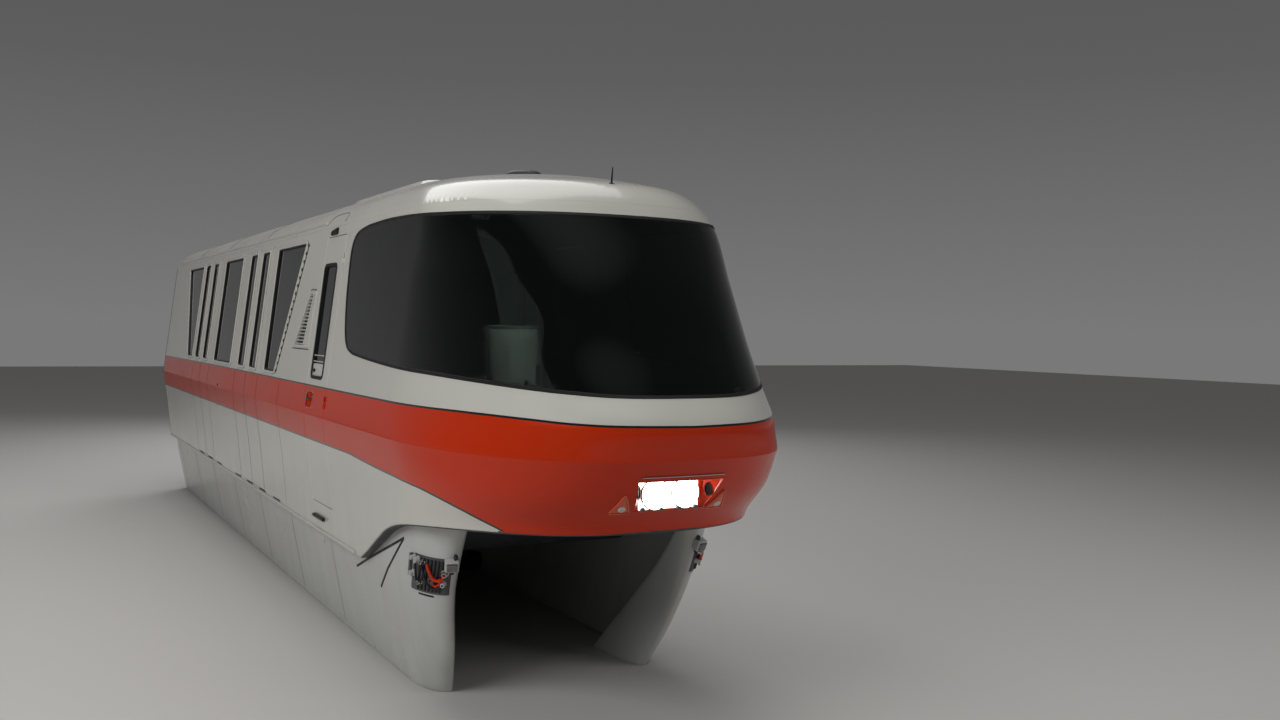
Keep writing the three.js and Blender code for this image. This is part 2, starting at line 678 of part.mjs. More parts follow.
// Skirts over the beam's sides. Each ends at the front in a leg with a rounded leading edge.
// Columns: height, leading edge and inner lip behind the datum, outer half width
const SKIRT_LEVELS = [
  [-950, 1700, 2380, 960],
  [-600, 1480, 2040, 1030],
  [-200, 1310, 1660, 1105],
  [-100, 1270, 1565, 1118],
  [410, 1055, 1135, 1130],
];
const SKIRT_WALL = 35;
const SKIRT_REAR_X = REAR_WALL_X + 60;
const LEG = { length: 420, inward: 170, lip: 95, steps: 7, lipSteps: 3 };

const SKIRT_FRONT = { underSill: 2745, underFloor: 2800 };
const quarter = Math.PI / 2;

function skirtLoop([z, front, lipEnd, outerY], side) {
  const curve = (inset) => {
    const points = [[SKIRT_REAR_X, outerY - inset]];
    for (let i = 0; i <= LEG.steps; i += 1) {
      const angle = (i / LEG.steps) * quarter;
      points.push([
        behind(front + LEG.length) + (LEG.length - inset) * Math.sin(angle),
        outerY - LEG.inward + (LEG.inward - inset) * Math.cos(angle),
      ]);
    }
    for (let i = 1; i <= LEG.lipSteps; i += 1) {
      const angle = (i / LEG.lipSteps) * quarter;
      points.push([
        behind(front + inset) - (lipEnd - front - inset) * (1 - Math.cos(angle)),
        outerY - LEG.inward - (LEG.lip - inset) * Math.sin(angle),
      ]);
    }
    return points;
  };
  return [...curve(0), ...curve(SKIRT_WALL).reverse()].map(([x, y]) => [x, side * y, z]);
}

function skirt(side) {
  const whole = loft(SKIRT_LEVELS.map((level) => skirtLoop(level, side)));
  const underSill = slab([-far, behind(SKIRT_FRONT.underSill)], [-far, SILL_Z - SEAM]);
  const underFloor = slab([-far, behind(SKIRT_FRONT.underFloor)], [-far, FLOOR_UNDER - SEAM]);
  return whole.intersect(joined(underNose(-SEAM), underSill, underFloor));
}

// Bogies. All sizes are measured from the bogie's centre.
const TYRE = { radius: 420, half: 150, hub: 190, axle: 50 };
const GUIDE = { radius: 200, half: 70, y: BEAM_HALF + 201, x: 550, bore: 36, spindle: 34.5 };
const GUIDE_Z = -150;
const LOWER_Z = -700;
const BEAM_Y = [240, 350];
const FRAME_Z = [340, 480];
const FRAME_HALF = 680;
const ARM = { half: 60, from: 300, past: 60 };
const CARRIER = { half: 50, over: 60, sunk: 10, neck: 55 };
const END_CAP = { radius: 60, low: 40, high: 12 };
const SPINDLE_PAST = 21;
const SPRING = { x: [-330, 330], y: 420, radius: 90, sunk: 5, plate: 70, plateY: [340, 500] };
const CROSS = { back: 60, half: 60, reach: 300 };

const ordered = (side, values) => values.map((value) => side * value).sort((a, b) => a - b);

// What carries one guide or lower wheel: an arm, a carrier block, a spindle and its end cap
function wheelCarrier(px, side, wheelZ) {
  const py = side * GUIDE.y;
  const reach = ordered(side, [ARM.from, GUIDE.y + ARM.past]);
  const top = wheelZ + GUIDE.half + CARRIER.over;
  const under = wheelZ - GUIDE.half;
  return [
    box([px - ARM.half, reach[0], FRAME_Z[0]], [px + ARM.half, reach[1], FRAME_Z[1]]),
    box([px - CARRIER.half, py - CARRIER.half, top], [px + CARRIER.half, py + CARRIER.half, FRAME_Z[1] - CARRIER.sunk]),
    rod('z', CARRIER.neck, wheelZ + GUIDE.half + SEAM, top + 1, [px, py], 12),
    rod('z', GUIDE.spindle, under - SPINDLE_PAST, top, [px, py], 16),
    rod('z', END_CAP.radius, under - END_CAP.low, under - END_CAP.high, [px, py], 12),
  ];
}

// An air spring on its bracket, up to the well's cover
function airSpring(px, side) {
  const y = ordered(side, SPRING.plateY);
  return [
    rod('z', SPRING.radius, FRAME_Z[1] - SPRING.sunk, WELL_TOP - SHEET - SEAM, [px, side * SPRING.y], 16),
    box([px - SPRING.plate, y[0], FRAME_Z[0]], [px + SPRING.plate, y[1], FRAME_Z[1]]),
  ];
}

function bogieFrame(x) {
  const parts = [];
  for (const side of [-1, 1]) {
    const y = ordered(side, BEAM_Y);
    parts.push(box([x - FRAME_HALF, y[0], FRAME_Z[0]], [x + FRAME_HALF, y[1], FRAME_Z[1]]));
    for (const end of [-1, 0, 1]) {
      const wheelZ = end === 0 ? LOWER_Z : GUIDE_Z;
      parts.push(...wheelCarrier(x + end * GUIDE.x, side, wheelZ));
    }
    for (const offset of SPRING.x) parts.push(...airSpring(x + offset, side));
  }
  for (const end of [-1, 1]) {
    const cx = x + end * (FRAME_HALF - CROSS.back);
    parts.push(box([cx - CROSS.half, -CROSS.reach, FRAME_Z[0]], [cx + CROSS.half, CROSS.reach, FRAME_Z[1]]));
  }
  const bores = rod('y', TYRE.axle + 1, -600, 600, [x, TYRE.radius], 24);
  return joined(...parts).subtract(bores);
}

function lathed(profile, steps) {
  return new THREE.LatheGeometry(profile.map(([r, z]) => new THREE.Vector2(r, z)), steps);
}

function loadWheel(x) {
  const { radius, half, hub, axle } = TYRE;
  const end = BEAM_Y[0] - SEAM;
  const stub = BEAM_Y[1] - 10;
  const profile = [
    [0, -stub], [axle - 1, -stub], [axle - 1, -end], [axle + 35, -end], [axle + 35, -half - 10],
    [hub, -half + 20], [radius - 45, -half], [radius, -half + 45],
    [radius, half - 45], [radius - 45, half], [hub, half - 20], [axle + 35, half + 10],
    [axle + 35, end], [axle - 1, end], [axle - 1, stub], [0, stub],
  ];
  return solid(lathed(profile, 24)).translate([x, 0, radius]);
}

function guideWheel(x, y, z) {
  const { radius, half, bore } = GUIDE;
  const round = 25;
  const lowest = -half - END_CAP.high + SEAM;
  const profile = [
    [bore, lowest], [bore + 45, lowest], [radius - round, -half], [radius, -half + round],
    [radius, half - round], [radius - round, half], [bore + 45, half], [bore, half],
    [bore, lowest],
  ];
  return solid(lathed(profile, 16).rotateX(Math.PI / 2)).translate([x, y, z]);
}

// Assembly
place('nose_shell', noseShell(), paint);
place('windshield', windshield(), darkGlass);
place('headlamp_unit', headlampUnit(), finish(colours.lamp, 0.2));
place('roof', roof(), paint);
place('horn_pod', hornPod(), trim);
place('rear_wall', rearWall(), paint);
place('rear_drawbar', drawbar(), steel);
place('gangway_bellows', bellows(), finish(colours.bellows, 0.85));
place('floor_pan', floorPan(), finish(colours.floor, 0.8));
place('cab_bulkhead', cabBulkhead(), finish(colours.floor, 0.6));
place('driver_desk', driverDesk(), trim);
place('driver_seat', driverSeat(), finish(colours.seat, 0.9));
place('front_bench_cushion', wellCushion(bogies[0][1], -1), finish(colours.seat, 0.9));
place('middle_bench_cushion', middleCushion(), finish(colours.seat, 0.9));
place('rear_bench_cushion', wellCushion(bogies[1][1], 1), finish(colours.seat, 0.9));

for (const [sideName, side] of sides) {
  place(`side_wall_${sideName}`, sideWall(side), paint);
  place(`skirt_${sideName}`, skirt(side), paint);
  place(`cab_door_${sideName}`, cabDoor(side), paint);
  const cabPane = paneLayer.intersect(throughSide(rectangle(...CAB_WINDOW, SEAM), side));
  place(`cab_door_glass_${sideName}`, cabPane, darkGlass);
  for (const row of WINDOWS) {
    const pane = paneLayer.intersect(throughSide(windowOutline(row, SEAM), side));
    place(`${row[0]}_window_${sideName}`, pane, darkGlass);
  }
  for (const row of DOOR_LEAVES) place(`${row[0]}_leaf_${sideName}`, doorLeaf(row, side), paint);
}

for (const [bogieName, x] of bogies) {
  place(`${bogieName}_bogie_frame`, bogieFrame(x), steel);
  place(`${bogieName}_load_wheel`, loadWheel(x), rubber);
  for (const [sideName, side] of sides) {
    const y = side * GUIDE.y;
    place(`${bogieName}_guide_wheel_fore_${sideName}`, guideWheel(x + GUIDE.x, y, GUIDE_Z), rubber);
    place(`${bogieName}_guide_wheel_aft_${sideName}`, guideWheel(x - GUIDE.x, y, GUIDE_Z), rubber);
    place(`${bogieName}_lower_wheel_${sideName}`, guideWheel(x, y, LOWER_Z), rubber);
  }
}

const car = new THREE.Group();
for (const [name, shape, material] of pieces) {
  const mesh = new THREE.Mesh(geometryOf(shape), material);
  mesh.name = name;
  car.add(mesh);
}

export default car;
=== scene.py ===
"""Looks of the lead car of a straddle-beam monorail train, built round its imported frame.

Metres. +X points to the nose, +Y to the car's left, +Z up. A place along the car is often given as b,
the distance behind the datum plane just behind the nose tip. A place on the skin is given as (u, t):
u runs round the plan outline from the nose's centre line, and t runs up the cross section.
"""
import math

import bmesh
import bpy
import numpy as np
from mathutils import Matrix, Vector
from mathutils.geometry import delaunay_2d_cdt


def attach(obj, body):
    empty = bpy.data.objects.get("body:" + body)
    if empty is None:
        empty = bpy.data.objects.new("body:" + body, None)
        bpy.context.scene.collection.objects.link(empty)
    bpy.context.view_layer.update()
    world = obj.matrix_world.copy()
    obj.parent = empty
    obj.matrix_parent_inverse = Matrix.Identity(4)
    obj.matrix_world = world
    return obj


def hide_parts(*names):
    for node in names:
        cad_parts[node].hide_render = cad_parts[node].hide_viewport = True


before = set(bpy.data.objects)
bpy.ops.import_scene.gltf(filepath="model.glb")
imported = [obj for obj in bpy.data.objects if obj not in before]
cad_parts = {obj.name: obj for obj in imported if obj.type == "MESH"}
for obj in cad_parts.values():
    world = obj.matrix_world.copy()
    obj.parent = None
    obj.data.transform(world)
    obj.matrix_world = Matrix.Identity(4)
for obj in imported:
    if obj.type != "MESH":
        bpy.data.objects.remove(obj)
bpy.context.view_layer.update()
SIDES = (("left", 1), ("right", -1))
BOTH = (-1, 1)

# Camera, at the photograph's viewing angle
camera_data = bpy.data.cameras.new("camera")
camera_data.sensor_width = 36.0
camera_data.lens = 33.75
camera_data.clip_end = 200
camera = bpy.data.objects.new("camera", camera_data)
bpy.context.scene.collection.objects.link(camera)
forward = Vector((-0.8782, 0.4774, -0.0273)).normalized()
up = Vector((-0.0315, -0.0008, 0.9995))
up = (up - forward * up.dot(forward)).normalized()
rotation = Matrix((forward.cross(up), up, -forward)).transposed()
camera.matrix_world = Matrix.Translation((13.15, -3.73, 1.705)) @ rotation.to_4x4()
bpy.context.scene.camera = camera

# The body's surface. Columns: height, half width, nose front behind the datum, nose length, fullness
LEVELS = np.array([
    (-0.500, 1.153, 0.300, 1.500, 2.60),
    (0.420, 1.240, 0.090, 1.500, 2.64),
    (0.660, 1.270, -0.130, 1.580, 2.75),
    (0.905, 1.300, -0.310, 1.880, 2.70),
    (0.925, 1.298, -0.312, 1.890, 2.70),
    (1.080, 1.279, -0.345, 2.050, 2.60),
    (1.300, 1.251, -0.190, 1.850, 2.57),
    (1.600, 1.213, 0.025, 1.600, 2.55),
    (2.000, 1.163, 0.262, 1.330, 2.46),
    (2.440, 1.107, 0.570, 0.960, 2.32),
    (2.530, 1.093, 0.625, 0.985, 2.28),
    (2.600, 1.050, 0.680, 1.030, 2.25),
    (2.680, 0.980, 0.800, 1.080, 2.22),
    (2.740, 0.884, 1.080, 1.190, 2.20),
    (2.790, 0.780, 1.380, 1.290, 2.20),
    (2.830, 0.640, 1.720, 1.350, 2.18),
    (2.860, 0.480, 2.000, 1.380, 2.15),
    (2.880, 0.330, 2.220, 1.290, 2.10),
    (2.893, 0.170, 2.450, 1.150, 2.00),
    (2.897, 0.000, 2.700, 1.000, 2.00),
])
CREASE_ROW, ROOF_ROW = 4, 10
DATUM_X = 6.65
REAR_X = -7.0
SILL_Z = -0.11
SIDE_TOP = 2.53
ROUND = 2.4


class Curve:
    """A smooth curve that never overshoots its rows. Columns: the place, then its values."""

    def __init__(self, rows):
        rows = np.asarray(rows, float)
        self.x, self.y = rows[:, 0], rows[:, 1:]
        step = np.diff(self.x)[:, None]
        rise = np.diff(self.y, axis=0) / step
        self.slope = np.zeros_like(self.y)
        self.slope[0], self.slope[-1] = rise[0], rise[-1]
        a, b = rise[:-1], rise[1:]
        wa = 2 * step[1:] + step[:-1]
        wb = step[1:] + 2 * step[:-1]
        with np.errstate(divide="ignore", invalid="ignore"):
            mean = (wa + wb) / (wa / a + wb / b)
        self.slope[1:-1] = np.where(a * b > 0, mean, 0)

    def __call__(self, value):
        value = np.asarray(value, float)
        i = np.clip(np.searchsorted(self.x, value) - 1, 0, len(self.x) - 2)
        width = self.x[i + 1] - self.x[i]
        s = np.clip((value - self.x[i]) / width, 0, 1)[..., None]
        width = width[..., None]
        made = (
            (1 + 2 * s) * (1 - s) ** 2 * self.y[i]
            + s * (1 - s) ** 2 * width * self.slope[i]
            + s * s * (3 - 2 * s) * self.y[i + 1]
            + s * s * (s - 1) * width * self.slope[i + 1]
        )
        return made if made.shape[-1] > 1 else made[..., 0]


# Heights along the cross section, with a sharp crease between the lower and the upper body
rise = np.hypot(np.diff(LEVELS[:, 0]), np.diff(LEVELS[:, 1]))
T = np.concatenate([[0], np.cumsum(rise)])
LOWER = Curve(np.column_stack([T, LEVELS])[:CREASE_ROW])
UPPER = Curve(np.column_stack([T, LEVELS])[CREASE_ROW:])
EDGE_LOW, EDGE_HIGH, TOP = T[CREASE_ROW - 1], T[CREASE_ROW], T[-1]


def level(t):
    """The columns of LEVELS at t."""
    t = np.asarray(t, float)
    share = np.clip((t - EDGE_LOW) / (EDGE_HIGH - EDGE_LOW), 0, 1)[..., None]
    return LOWER(np.minimum(t, EDGE_LOW)) * (1 - share) + UPPER(np.maximum(t, EDGE_HIGH)) * share


T_TABLE = np.linspace(0, TOP, 4000)
Z_TABLE = level(T_TABLE)[:, 0]


def t_of(z):
    return np.interp(z, Z_TABLE, T_TABLE)


def u_of(b, t):
    """u of the point of level t that lies b behind the datum."""
    _, _, front, length, power = np.moveaxis(level(t), -1, 0)
    ahead = np.clip((front + length - b) / length, 0, 1)
    beside = (1 - ahead**2) ** (1 / power)
    round_part = np.arctan2(beside, ahead) * 2 / math.pi * ROUND
    return np.where(b >= front + length, ROUND + b - front - length, round_part)


def skin(u, t):
    """Points of the surface, on the left for a positive u."""
    u, t = np.broadcast_arrays(np.asarray(u, float), np.asarray(t, float))
    z, half, front, length, power = np.moveaxis(level(t), -1, 0)
    turn = np.minimum(np.abs(u) / ROUND, 1) * math.pi / 2
    c, s = np.cos(turn), np.sin(turn)
    r = np.full_like(turn, 1.3)
    for _ in range(9):
        value = (r * c) ** 2 + (r * s) ** power - 1
        r = r - value / (2 * r * c * c + power * s**power * r ** (power - 1))
    b = front + length - length * r * c + np.maximum(np.abs(u) - ROUND, 0)
    return np.stack([DATUM_X - b, half * r * s * np.sign(u), z], -1)


def side_skin(b, t):
    """Points of the left side by their place along the car."""
    return skin(u_of(b, t), t)


def facing(mapper, a, b, e=1e-3):
    """Outward unit normals of a mapped surface."""
    da = mapper(a + e, b) - mapper(a - e, b)
    db = mapper(a, b + e) - mapper(a, b - e)
    normal = np.cross(da, db)
    normal /= np.linalg.norm(normal, axis=1)[:, None] + 1e-12
    away = mapper(a, b) - np.array([0, 0, 1.0])
    away[:, 0] *= 0.15
    return normal * np.sign((normal * away).sum(1))[:, None]


def shifted(mapper, height):
    """The surface moved out along its normals."""
    return lambda a, b: mapper(a, b) + facing(mapper, a, b) * height


def swollen(mapper, outline, height, width):
    """The surface raised inside an outline, or sunk for a negative height, with shoulders of a width."""
    loop = spaced(outline, 0.005)

    def made(a, b):
        a, b = np.broadcast_arrays(np.asarray(a, float), np.asarray(b, float))
        gap = np.hypot(a[:, None] - loop[:, 0], b[:, None] - loop[:, 1]).min(1)
        share = np.clip(gap / width, 0, 1)
        return mapper(a, b) + facing(mapper, a, b) * (height * np.sqrt(1 - (1 - share) ** 2))[:, None]

    return made


def spot(mapper, a, b, side=1):
    """One point of a surface, and the way it faces there."""
    a, b = np.array([a]), np.array([b])
    return mapper(a, b)[0] * [1, side, 1], facing(mapper, a, b)[0] * [1, side, 1]


# Lines on the surface
def bt(rows):
    """Side-view rows of (b, z) as (b, t)."""
    rows = np.asarray(rows, float)
    return np.stack([rows[:, 0], t_of(rows[:, 1])], 1)


def behind(b, t, side=1):
    """Rows of (u, t) that lie b behind the datum."""
    return np.stack([u_of(b, t) * side, t], 1)


def on_edge(edge, guess_z, u):
    """Rows of (u, t) along a curve that gives the height by b."""
    t = np.full_like(u, t_of(guess_z))
    for _ in range(30):
        b = DATUM_X - skin(u, t)[:, 0]
        t = 0.5 * t + 0.5 * t_of(edge(b))
    return np.stack([u, t], 1)


def on_front(rows):
    """Front-view rows of (y, z) as (u, t)."""
    u = np.linspace(0, 1.4, 400)
    made = []
    for y, z in rows:
        t = float(t_of(z))
        made.append((math.copysign(float(np.interp(abs(y), skin(u, t)[:, 1], u)), y), t))
    return np.array(made)


def whole(half):
    """A half outline closed with its mirror image."""
    back = (half * [-1, 1])[::-1]
    return np.concatenate([half, back[back[:, 0] < -1e-6]])


def past_middle(half):
    """A half outline closed beyond the centre line."""
    return np.concatenate([half, [(-0.4, half[-1, 1]), (-0.4, half[0, 1])]])


def crease(start, end):
    return [[(start, t), (end, t)] for t in (EDGE_LOW, EDGE_HIGH)]


# Outlines
def rectangle(front, rear, low, high):
    return [(front, low), (rear, low), (rear, high), (front, high)]


def spaced(points, step, closed=True):
    """The polyline with points no further apart than step."""
    points = np.asarray(points, float)
    made = []
    for i in range(len(points) if closed else len(points) - 1):
        a, b = points[i], points[(i + 1) % len(points)]
        parts = max(1, math.ceil(np.linalg.norm(b - a) / step))
        made += [a + (b - a) * k / parts for k in range(parts)]
    if not closed:
        made.append(points[-1])
    return np.array(made)


def rounded(points, radius, steps=4):
    """The closed polygon with its corners rounded."""
    points = np.asarray(points, float)
    made = []
    for i, p in enumerate(points):
        before, after = points[i - 1] - p, points[(i + 1) % len(points)] - p
        size = min(radius, np.linalg.norm(before) / 2, np.linalg.norm(after) / 2)
        a = p + before / np.linalg.norm(before) * size
        b = p + after / np.linalg.norm(after) * size
        for s in np.arange(steps + 1) / steps:
            made.append(a * (1 - s) ** 2 + 2 * p * s * (1 - s) + b * s * s)
    return np.array(made)


def smoothed(points):
    """The open polyline with its corners cut three times."""
    points = np.asarray(points, float)
    for _ in range(3):
        a, b = points[:-1], points[1:]
        cut = np.stack([a * 0.75 + b * 0.25, a * 0.25 + b * 0.75], 1).reshape(-1, points.shape[1])
        points = np.concatenate([points[:1], cut[1:-1], points[-1:]])
    return points


def inside(points, loop):
    """Which points lie inside a closed loop."""
    x, y = points[:, 0, None], points[:, 1, None]
    a, b = loop, np.roll(loop, -1, axis=0)
    with np.errstate(divide="ignore", invalid="ignore"):
        crossing = a[:, 0] + (y - a[:, 1]) * (b[:, 0] - a[:, 0]) / (b[:, 1] - a[:, 1])
    hits = ((a[:, 1] > y) != (b[:, 1] > y)) & (x < crossing)
    return hits.sum(1) % 2 == 1


def near(points, starts, ends, distance):
    """Which points lie close to any of the segments."""
    found = np.zeros(len(points), bool)
    for a, b in zip(starts, ends):
        along = b - a
        s = np.clip((points - a) @ along / max(along @ along, 1e-12), 0, 1)
        gap = points - a - s[:, None] * along
        found |= (gap**2).sum(1) < distance**2
    return found


def triangulated(outline, holes, lines, step, edge):
    """Triangles that fill the outline outside its holes, with edges along the lines."""
    loops = [spaced(loop, edge) for loop in (outline, *holes)]
    opens = [spaced(line, edge, closed=False) for line in lines]
    points, edges = [], []
    for group, closed in [(loop, True) for loop in loops] + [(line, False) for line in opens]:
        first = len(points)
        points += list(group)
        edges += [(first + i, first + i + 1) for i in range(len(group) - 1)]
        if closed:
            edges.append((first + len(group) - 1, first))
    fixed = np.array(points)
    low, high = loops[0].min(0), loops[0].max(0)
    xs = np.arange(low[0] + step[0] / 2, high[0], step[0])
    ys = np.arange(low[1] + step[1] / 2, high[1], step[1])
    gx, gy = np.meshgrid(xs, ys)
    gx = gx + np.where(np.arange(len(ys)) % 2, step[0] / 2, 0)[:, None]
    grid = np.stack([gx.ravel(), gy.ravel()], 1)
    grid = grid[inside(grid, loops[0])]
    starts, ends = fixed[np.array(edges).T]
    grid = grid[~near(grid, starts, ends, 0.45 * min(step))]
    made = delaunay_2d_cdt([Vector(p) for p in [*fixed, *grid]], edges, [], 0, 1e-7)
    flat = np.array([list(v) for v in made[0]])
    faces = np.array([f for f in made[2] if len(f) == 3])
    middle = flat[faces].mean(1)
    keep = inside(middle, loops[0])
    for hole in loops[1:]:
        keep &= ~inside(middle, hole)
    return flat, faces[keep], middle[keep]


# Meshes
def new_mesh(verts, faces, *materials, slots=None):
    mesh = bpy.data.meshes.new("part")
    mesh.from_pydata([tuple(map(float, v)) for v in verts], [], [list(map(int, f)) for f in faces])
    for material in materials:
        mesh.materials.append(material)
    if slots is not None:
        mesh.polygons.foreach_set("material_index", np.asarray(slots, np.int32))
    mesh.update()
    mesh.shade_smooth()
    obj = bpy.data.objects.new("part", mesh)
    bpy.context.scene.collection.objects.link(obj)
    return obj


def applied(obj):
    """The object with its modifiers turned into mesh."""
    depsgraph = bpy.context.evaluated_depsgraph_get()
    mesh = bpy.data.meshes.new_from_object(obj.evaluated_get(depsgraph))
    old = obj.data
    obj.modifiers.clear()
    obj.data = mesh
    bpy.data.meshes.remove(old)
    return obj


def merged(obj, distance=1e-5):
    weld = obj.modifiers.new("weld", "WELD")
    weld.merge_threshold = distance
    return applied(obj)


def outward(obj):
    """Turns all faces out."""
    work = bmesh.new()
    work.from_mesh(obj.data)
    bmesh.ops.recalc_face_normals(work, faces=work.faces)
    work.to_mesh(obj.data)
    work.free()
    return obj


def sharpen(obj, angle):
    """Smooth shading, apart from edges sharper than the angle."""
    obj.data.shade_smooth()
    obj.data.set_sharp_from_angle(angle=math.radians(angle))
    return obj


def thick(obj, depth, inner=0, bevel=0.0, angle=50):
    """A sheet turned into a plate with rounded edges; its own faces stay where they are."""
    solid = obj.modifiers.new("solid", "SOLIDIFY")
    solid.thickness = depth
    solid.offset = -1
    solid.use_even_offset = True
    solid.thickness_clamp = 0
    solid.material_offset = inner
    if bevel:
        edge = obj.modifiers.new("bevel", "BEVEL")
        edge.width = bevel
        edge.segments = 2
        edge.limit_method = "ANGLE"
        edge.angle_limit = math.radians(angle)
        edge.use_clamp_overlap = True
    return sharpen(applied(obj), angle)


def true_shading(obj):
    """Shades the outer faces of a body panel with the surface's own normals."""
    mesh = obj.data
    points = np.array([v.co for v in mesh.vertices])
    owner = np.empty(len(mesh.loops), int)
    mesh.loops.foreach_get("vertex_index", owner)
    sizes = np.array([p.loop_total for p in mesh.polygons])
    middle = np.repeat(np.array([p.center for p in mesh.polygons]), sizes, axis=0)
    flat = np.repeat(np.array([p.normal for p in mesh.polygons]), sizes, axis=0)
    corners = np.array([n.vector for n in mesh.corner_normals])
    place = points[owner] * 0.9 + middle * 0.1
    flank = np.where(place[:, 1] < 0, -1.0, 1.0)
    t = t_of(place[:, 2])
    u = np.maximum(u_of(DATUM_X - place[:, 0], t), 0.002)
    exact = facing(skin, u, t, 2e-4)
    exact[:, 1] *= flank
    on_skin = skin(u, t)
    on_skin[:, 1] *= flank
    gap = np.abs(((on_skin - place) * exact).sum(1))
    use = ((exact * flat).sum(1) > 0.985) & (gap < 0.002) & (place[:, 2] < 2.87)
    corners[use] = exact[use]
    mesh.normals_split_custom_set(corners.tolist())
    return obj


def plate(outline, mapper, materials, zone=None, holes=(), lines=(), mirror=False, side=1,
          depth=0.03, inner=0, bevel=0.004, step=(0.05, 0.04), edge=0.03):
    """A panel of the body: a flat outline laid onto the surface and given its thickness."""
    flat, faces, middle = triangulated(outline, holes, lines, step, edge)
    verts = mapper(*flat.T)
    slots = zone(*middle.T) if zone else np.zeros(len(faces), int)
    a, b, c = (verts[faces[:, k]] for k in range(3))
    if (np.cross(b - a, c - a) * ((a + b + c) / 3 - [0.0, 0.0, 1.0])).sum() < 0:
        faces = faces[:, ::-1]
    if side < 0:
        verts = verts * [1, -1, 1]
        faces = faces[:, ::-1]
    if mirror:
        faces = np.concatenate([faces, faces[:, ::-1] + len(verts)])
        verts = np.concatenate([verts, verts * [1, -1, 1]])
        slots = np.concatenate([slots, slots])
    obj = new_mesh(verts, faces, *materials, slots=slots)
    if mirror:
        merged(obj, 2e-4)
    return thick(obj, depth, inner, bevel)


def grid_faces(rows, columns, ring_rows=False, ring_columns=True):
    """Quads between points that are numbered row by row."""
    faces = []
    for i in range(rows if ring_rows else rows - 1):
        up = ((i + 1) % rows - i) * columns
        for k in range(columns if ring_columns else columns - 1):
            a, b = i * columns + k, i * columns + (k + 1) % columns
            faces.append((a, b, b + up, a + up))
    return faces


def sheet(rows, mat, flip=False):
    """A surface through rows of points."""
    rows = np.asarray(rows, float)
    faces = grid_faces(*rows.shape[:2], ring_columns=False)
    return new_mesh(rows.reshape(-1, 3), [f[::-1] for f in faces] if flip else faces, mat)


def moulding(line, mapper, profile, mat, side=1, step=0.03, closed=True):
    """A bar that follows a line on the surface. Profile columns: across the line, out of the surface."""
    flat = spaced(line, step, closed)
    points = mapper(*flat.T)
    out = facing(mapper, *flat.T)
    if closed:
        along = np.roll(points, -1, 0) - np.roll(points, 1, 0)
    else:
        along = np.gradient(points, axis=0)
    along /= np.linalg.norm(along, axis=1)[:, None]
    across = np.cross(out, along)
    across /= np.linalg.norm(across, axis=1)[:, None]
    verts = np.stack([points + across * a + out * h for a, h in profile], 1).reshape(-1, 3)
    n, m = len(flat), len(profile)
    faces = grid_faces(n, m, closed)
    if not closed:
        faces += [tuple(range(m)), tuple(range((n - 1) * m, n * m))[::-1]]
    return sharpen(outward(new_mesh(verts * [1, side, 1], faces, mat)), 35)


def bar(line, mapper, profile, mat, side=1, step=0.03):
    """A moulding along an open line."""
    return moulding(np.asarray(line, float), mapper, profile, mat, side, step, False)


def side_bar(rows, profile, mat, side, step=0.03):
    """A moulding on the side, along rows of (b, z)."""
    return bar(bt(rows), side_skin, profile, mat, side, step)


def bead(width, low, high, round_off=0.003):
    """A bar's profile with rounded shoulders."""
    half = width / 2
    return [(-half, low), (-half, high - round_off), (-half + round_off, high),
            (half - round_off, high), (half, high - round_off), (half, low)]


def round_bead(radius, height):
    angle = np.arange(10) * 2 * math.pi / 10
    return np.stack([radius * np.cos(angle), height + radius * np.sin(angle)], 1)


def turned(rows, mat, at, axis=(0, 0, 1), segments=32, notch=None):
    """A lathe-turned form. Rows: radius, distance along the axis. Notch: every, depth, least radius."""
    angle = np.arange(segments) * 2 * math.pi / segments
    verts = []
    for radius, height in rows:
        r = np.full(segments, float(radius))
        if notch and radius > notch[2]:
            r[np.arange(segments) % notch[0] == 0] -= notch[1]
        verts.append(np.stack([r * np.cos(angle), r * np.sin(angle), np.full(segments, float(height))], 1))
    spin = np.array(Vector(axis).to_track_quat("Z", "Y").to_matrix())
    verts = np.concatenate(verts) @ spin.T + np.array(at)
    obj = new_mesh(verts, grid_faces(len(rows), segments), mat)
    return sharpen(outward(merged(obj)), 35)


def tube(points, radius, mat, sides=10):
    """A round bar along a path, with closed ends."""
    points = np.asarray(points, float)
    along = np.gradient(points, axis=0)
    along /= np.linalg.norm(along, axis=1)[:, None]
    guide = np.eye(3)[int(np.abs(along).max(0).argmin())]
    a = np.cross(along, guide)
    a /= np.linalg.norm(a, axis=1)[:, None]
    b = np.cross(along, a)
    angle = np.arange(sides) * 2 * math.pi / sides
    ring = a[:, None] * np.cos(angle)[None, :, None] + b[:, None] * np.sin(angle)[None, :, None]
    last = (len(points) - 1) * sides
    faces = grid_faces(len(points), sides) + [tuple(range(sides)), tuple(range(last, last + sides))]
    return sharpen(outward(new_mesh((points[:, None] + ring * radius).reshape(-1, 3), faces, mat)), 50)


def block(low, high, mat, bevel=0.006, matrix=None):
    """A box with rounded edges."""
    (x0, y0, z0), (x1, y1, z1) = low, high
    verts = [(x, y, z) for x in (x0, x1) for y in (y0, y1) for z in (z0, z1)]
    faces = [(0, 1, 3, 2), (4, 6, 7, 5), (0, 4, 5, 1), (2, 3, 7, 6), (0, 2, 6, 4), (1, 5, 7, 3)]
    obj = new_mesh(verts, faces, mat)
    edge = obj.modifiers.new("bevel", "BEVEL")
    edge.width = bevel
    edge.segments = 3
    applied(obj)
    if matrix:
        obj.data.transform(matrix)
    return sharpen(obj, 50)


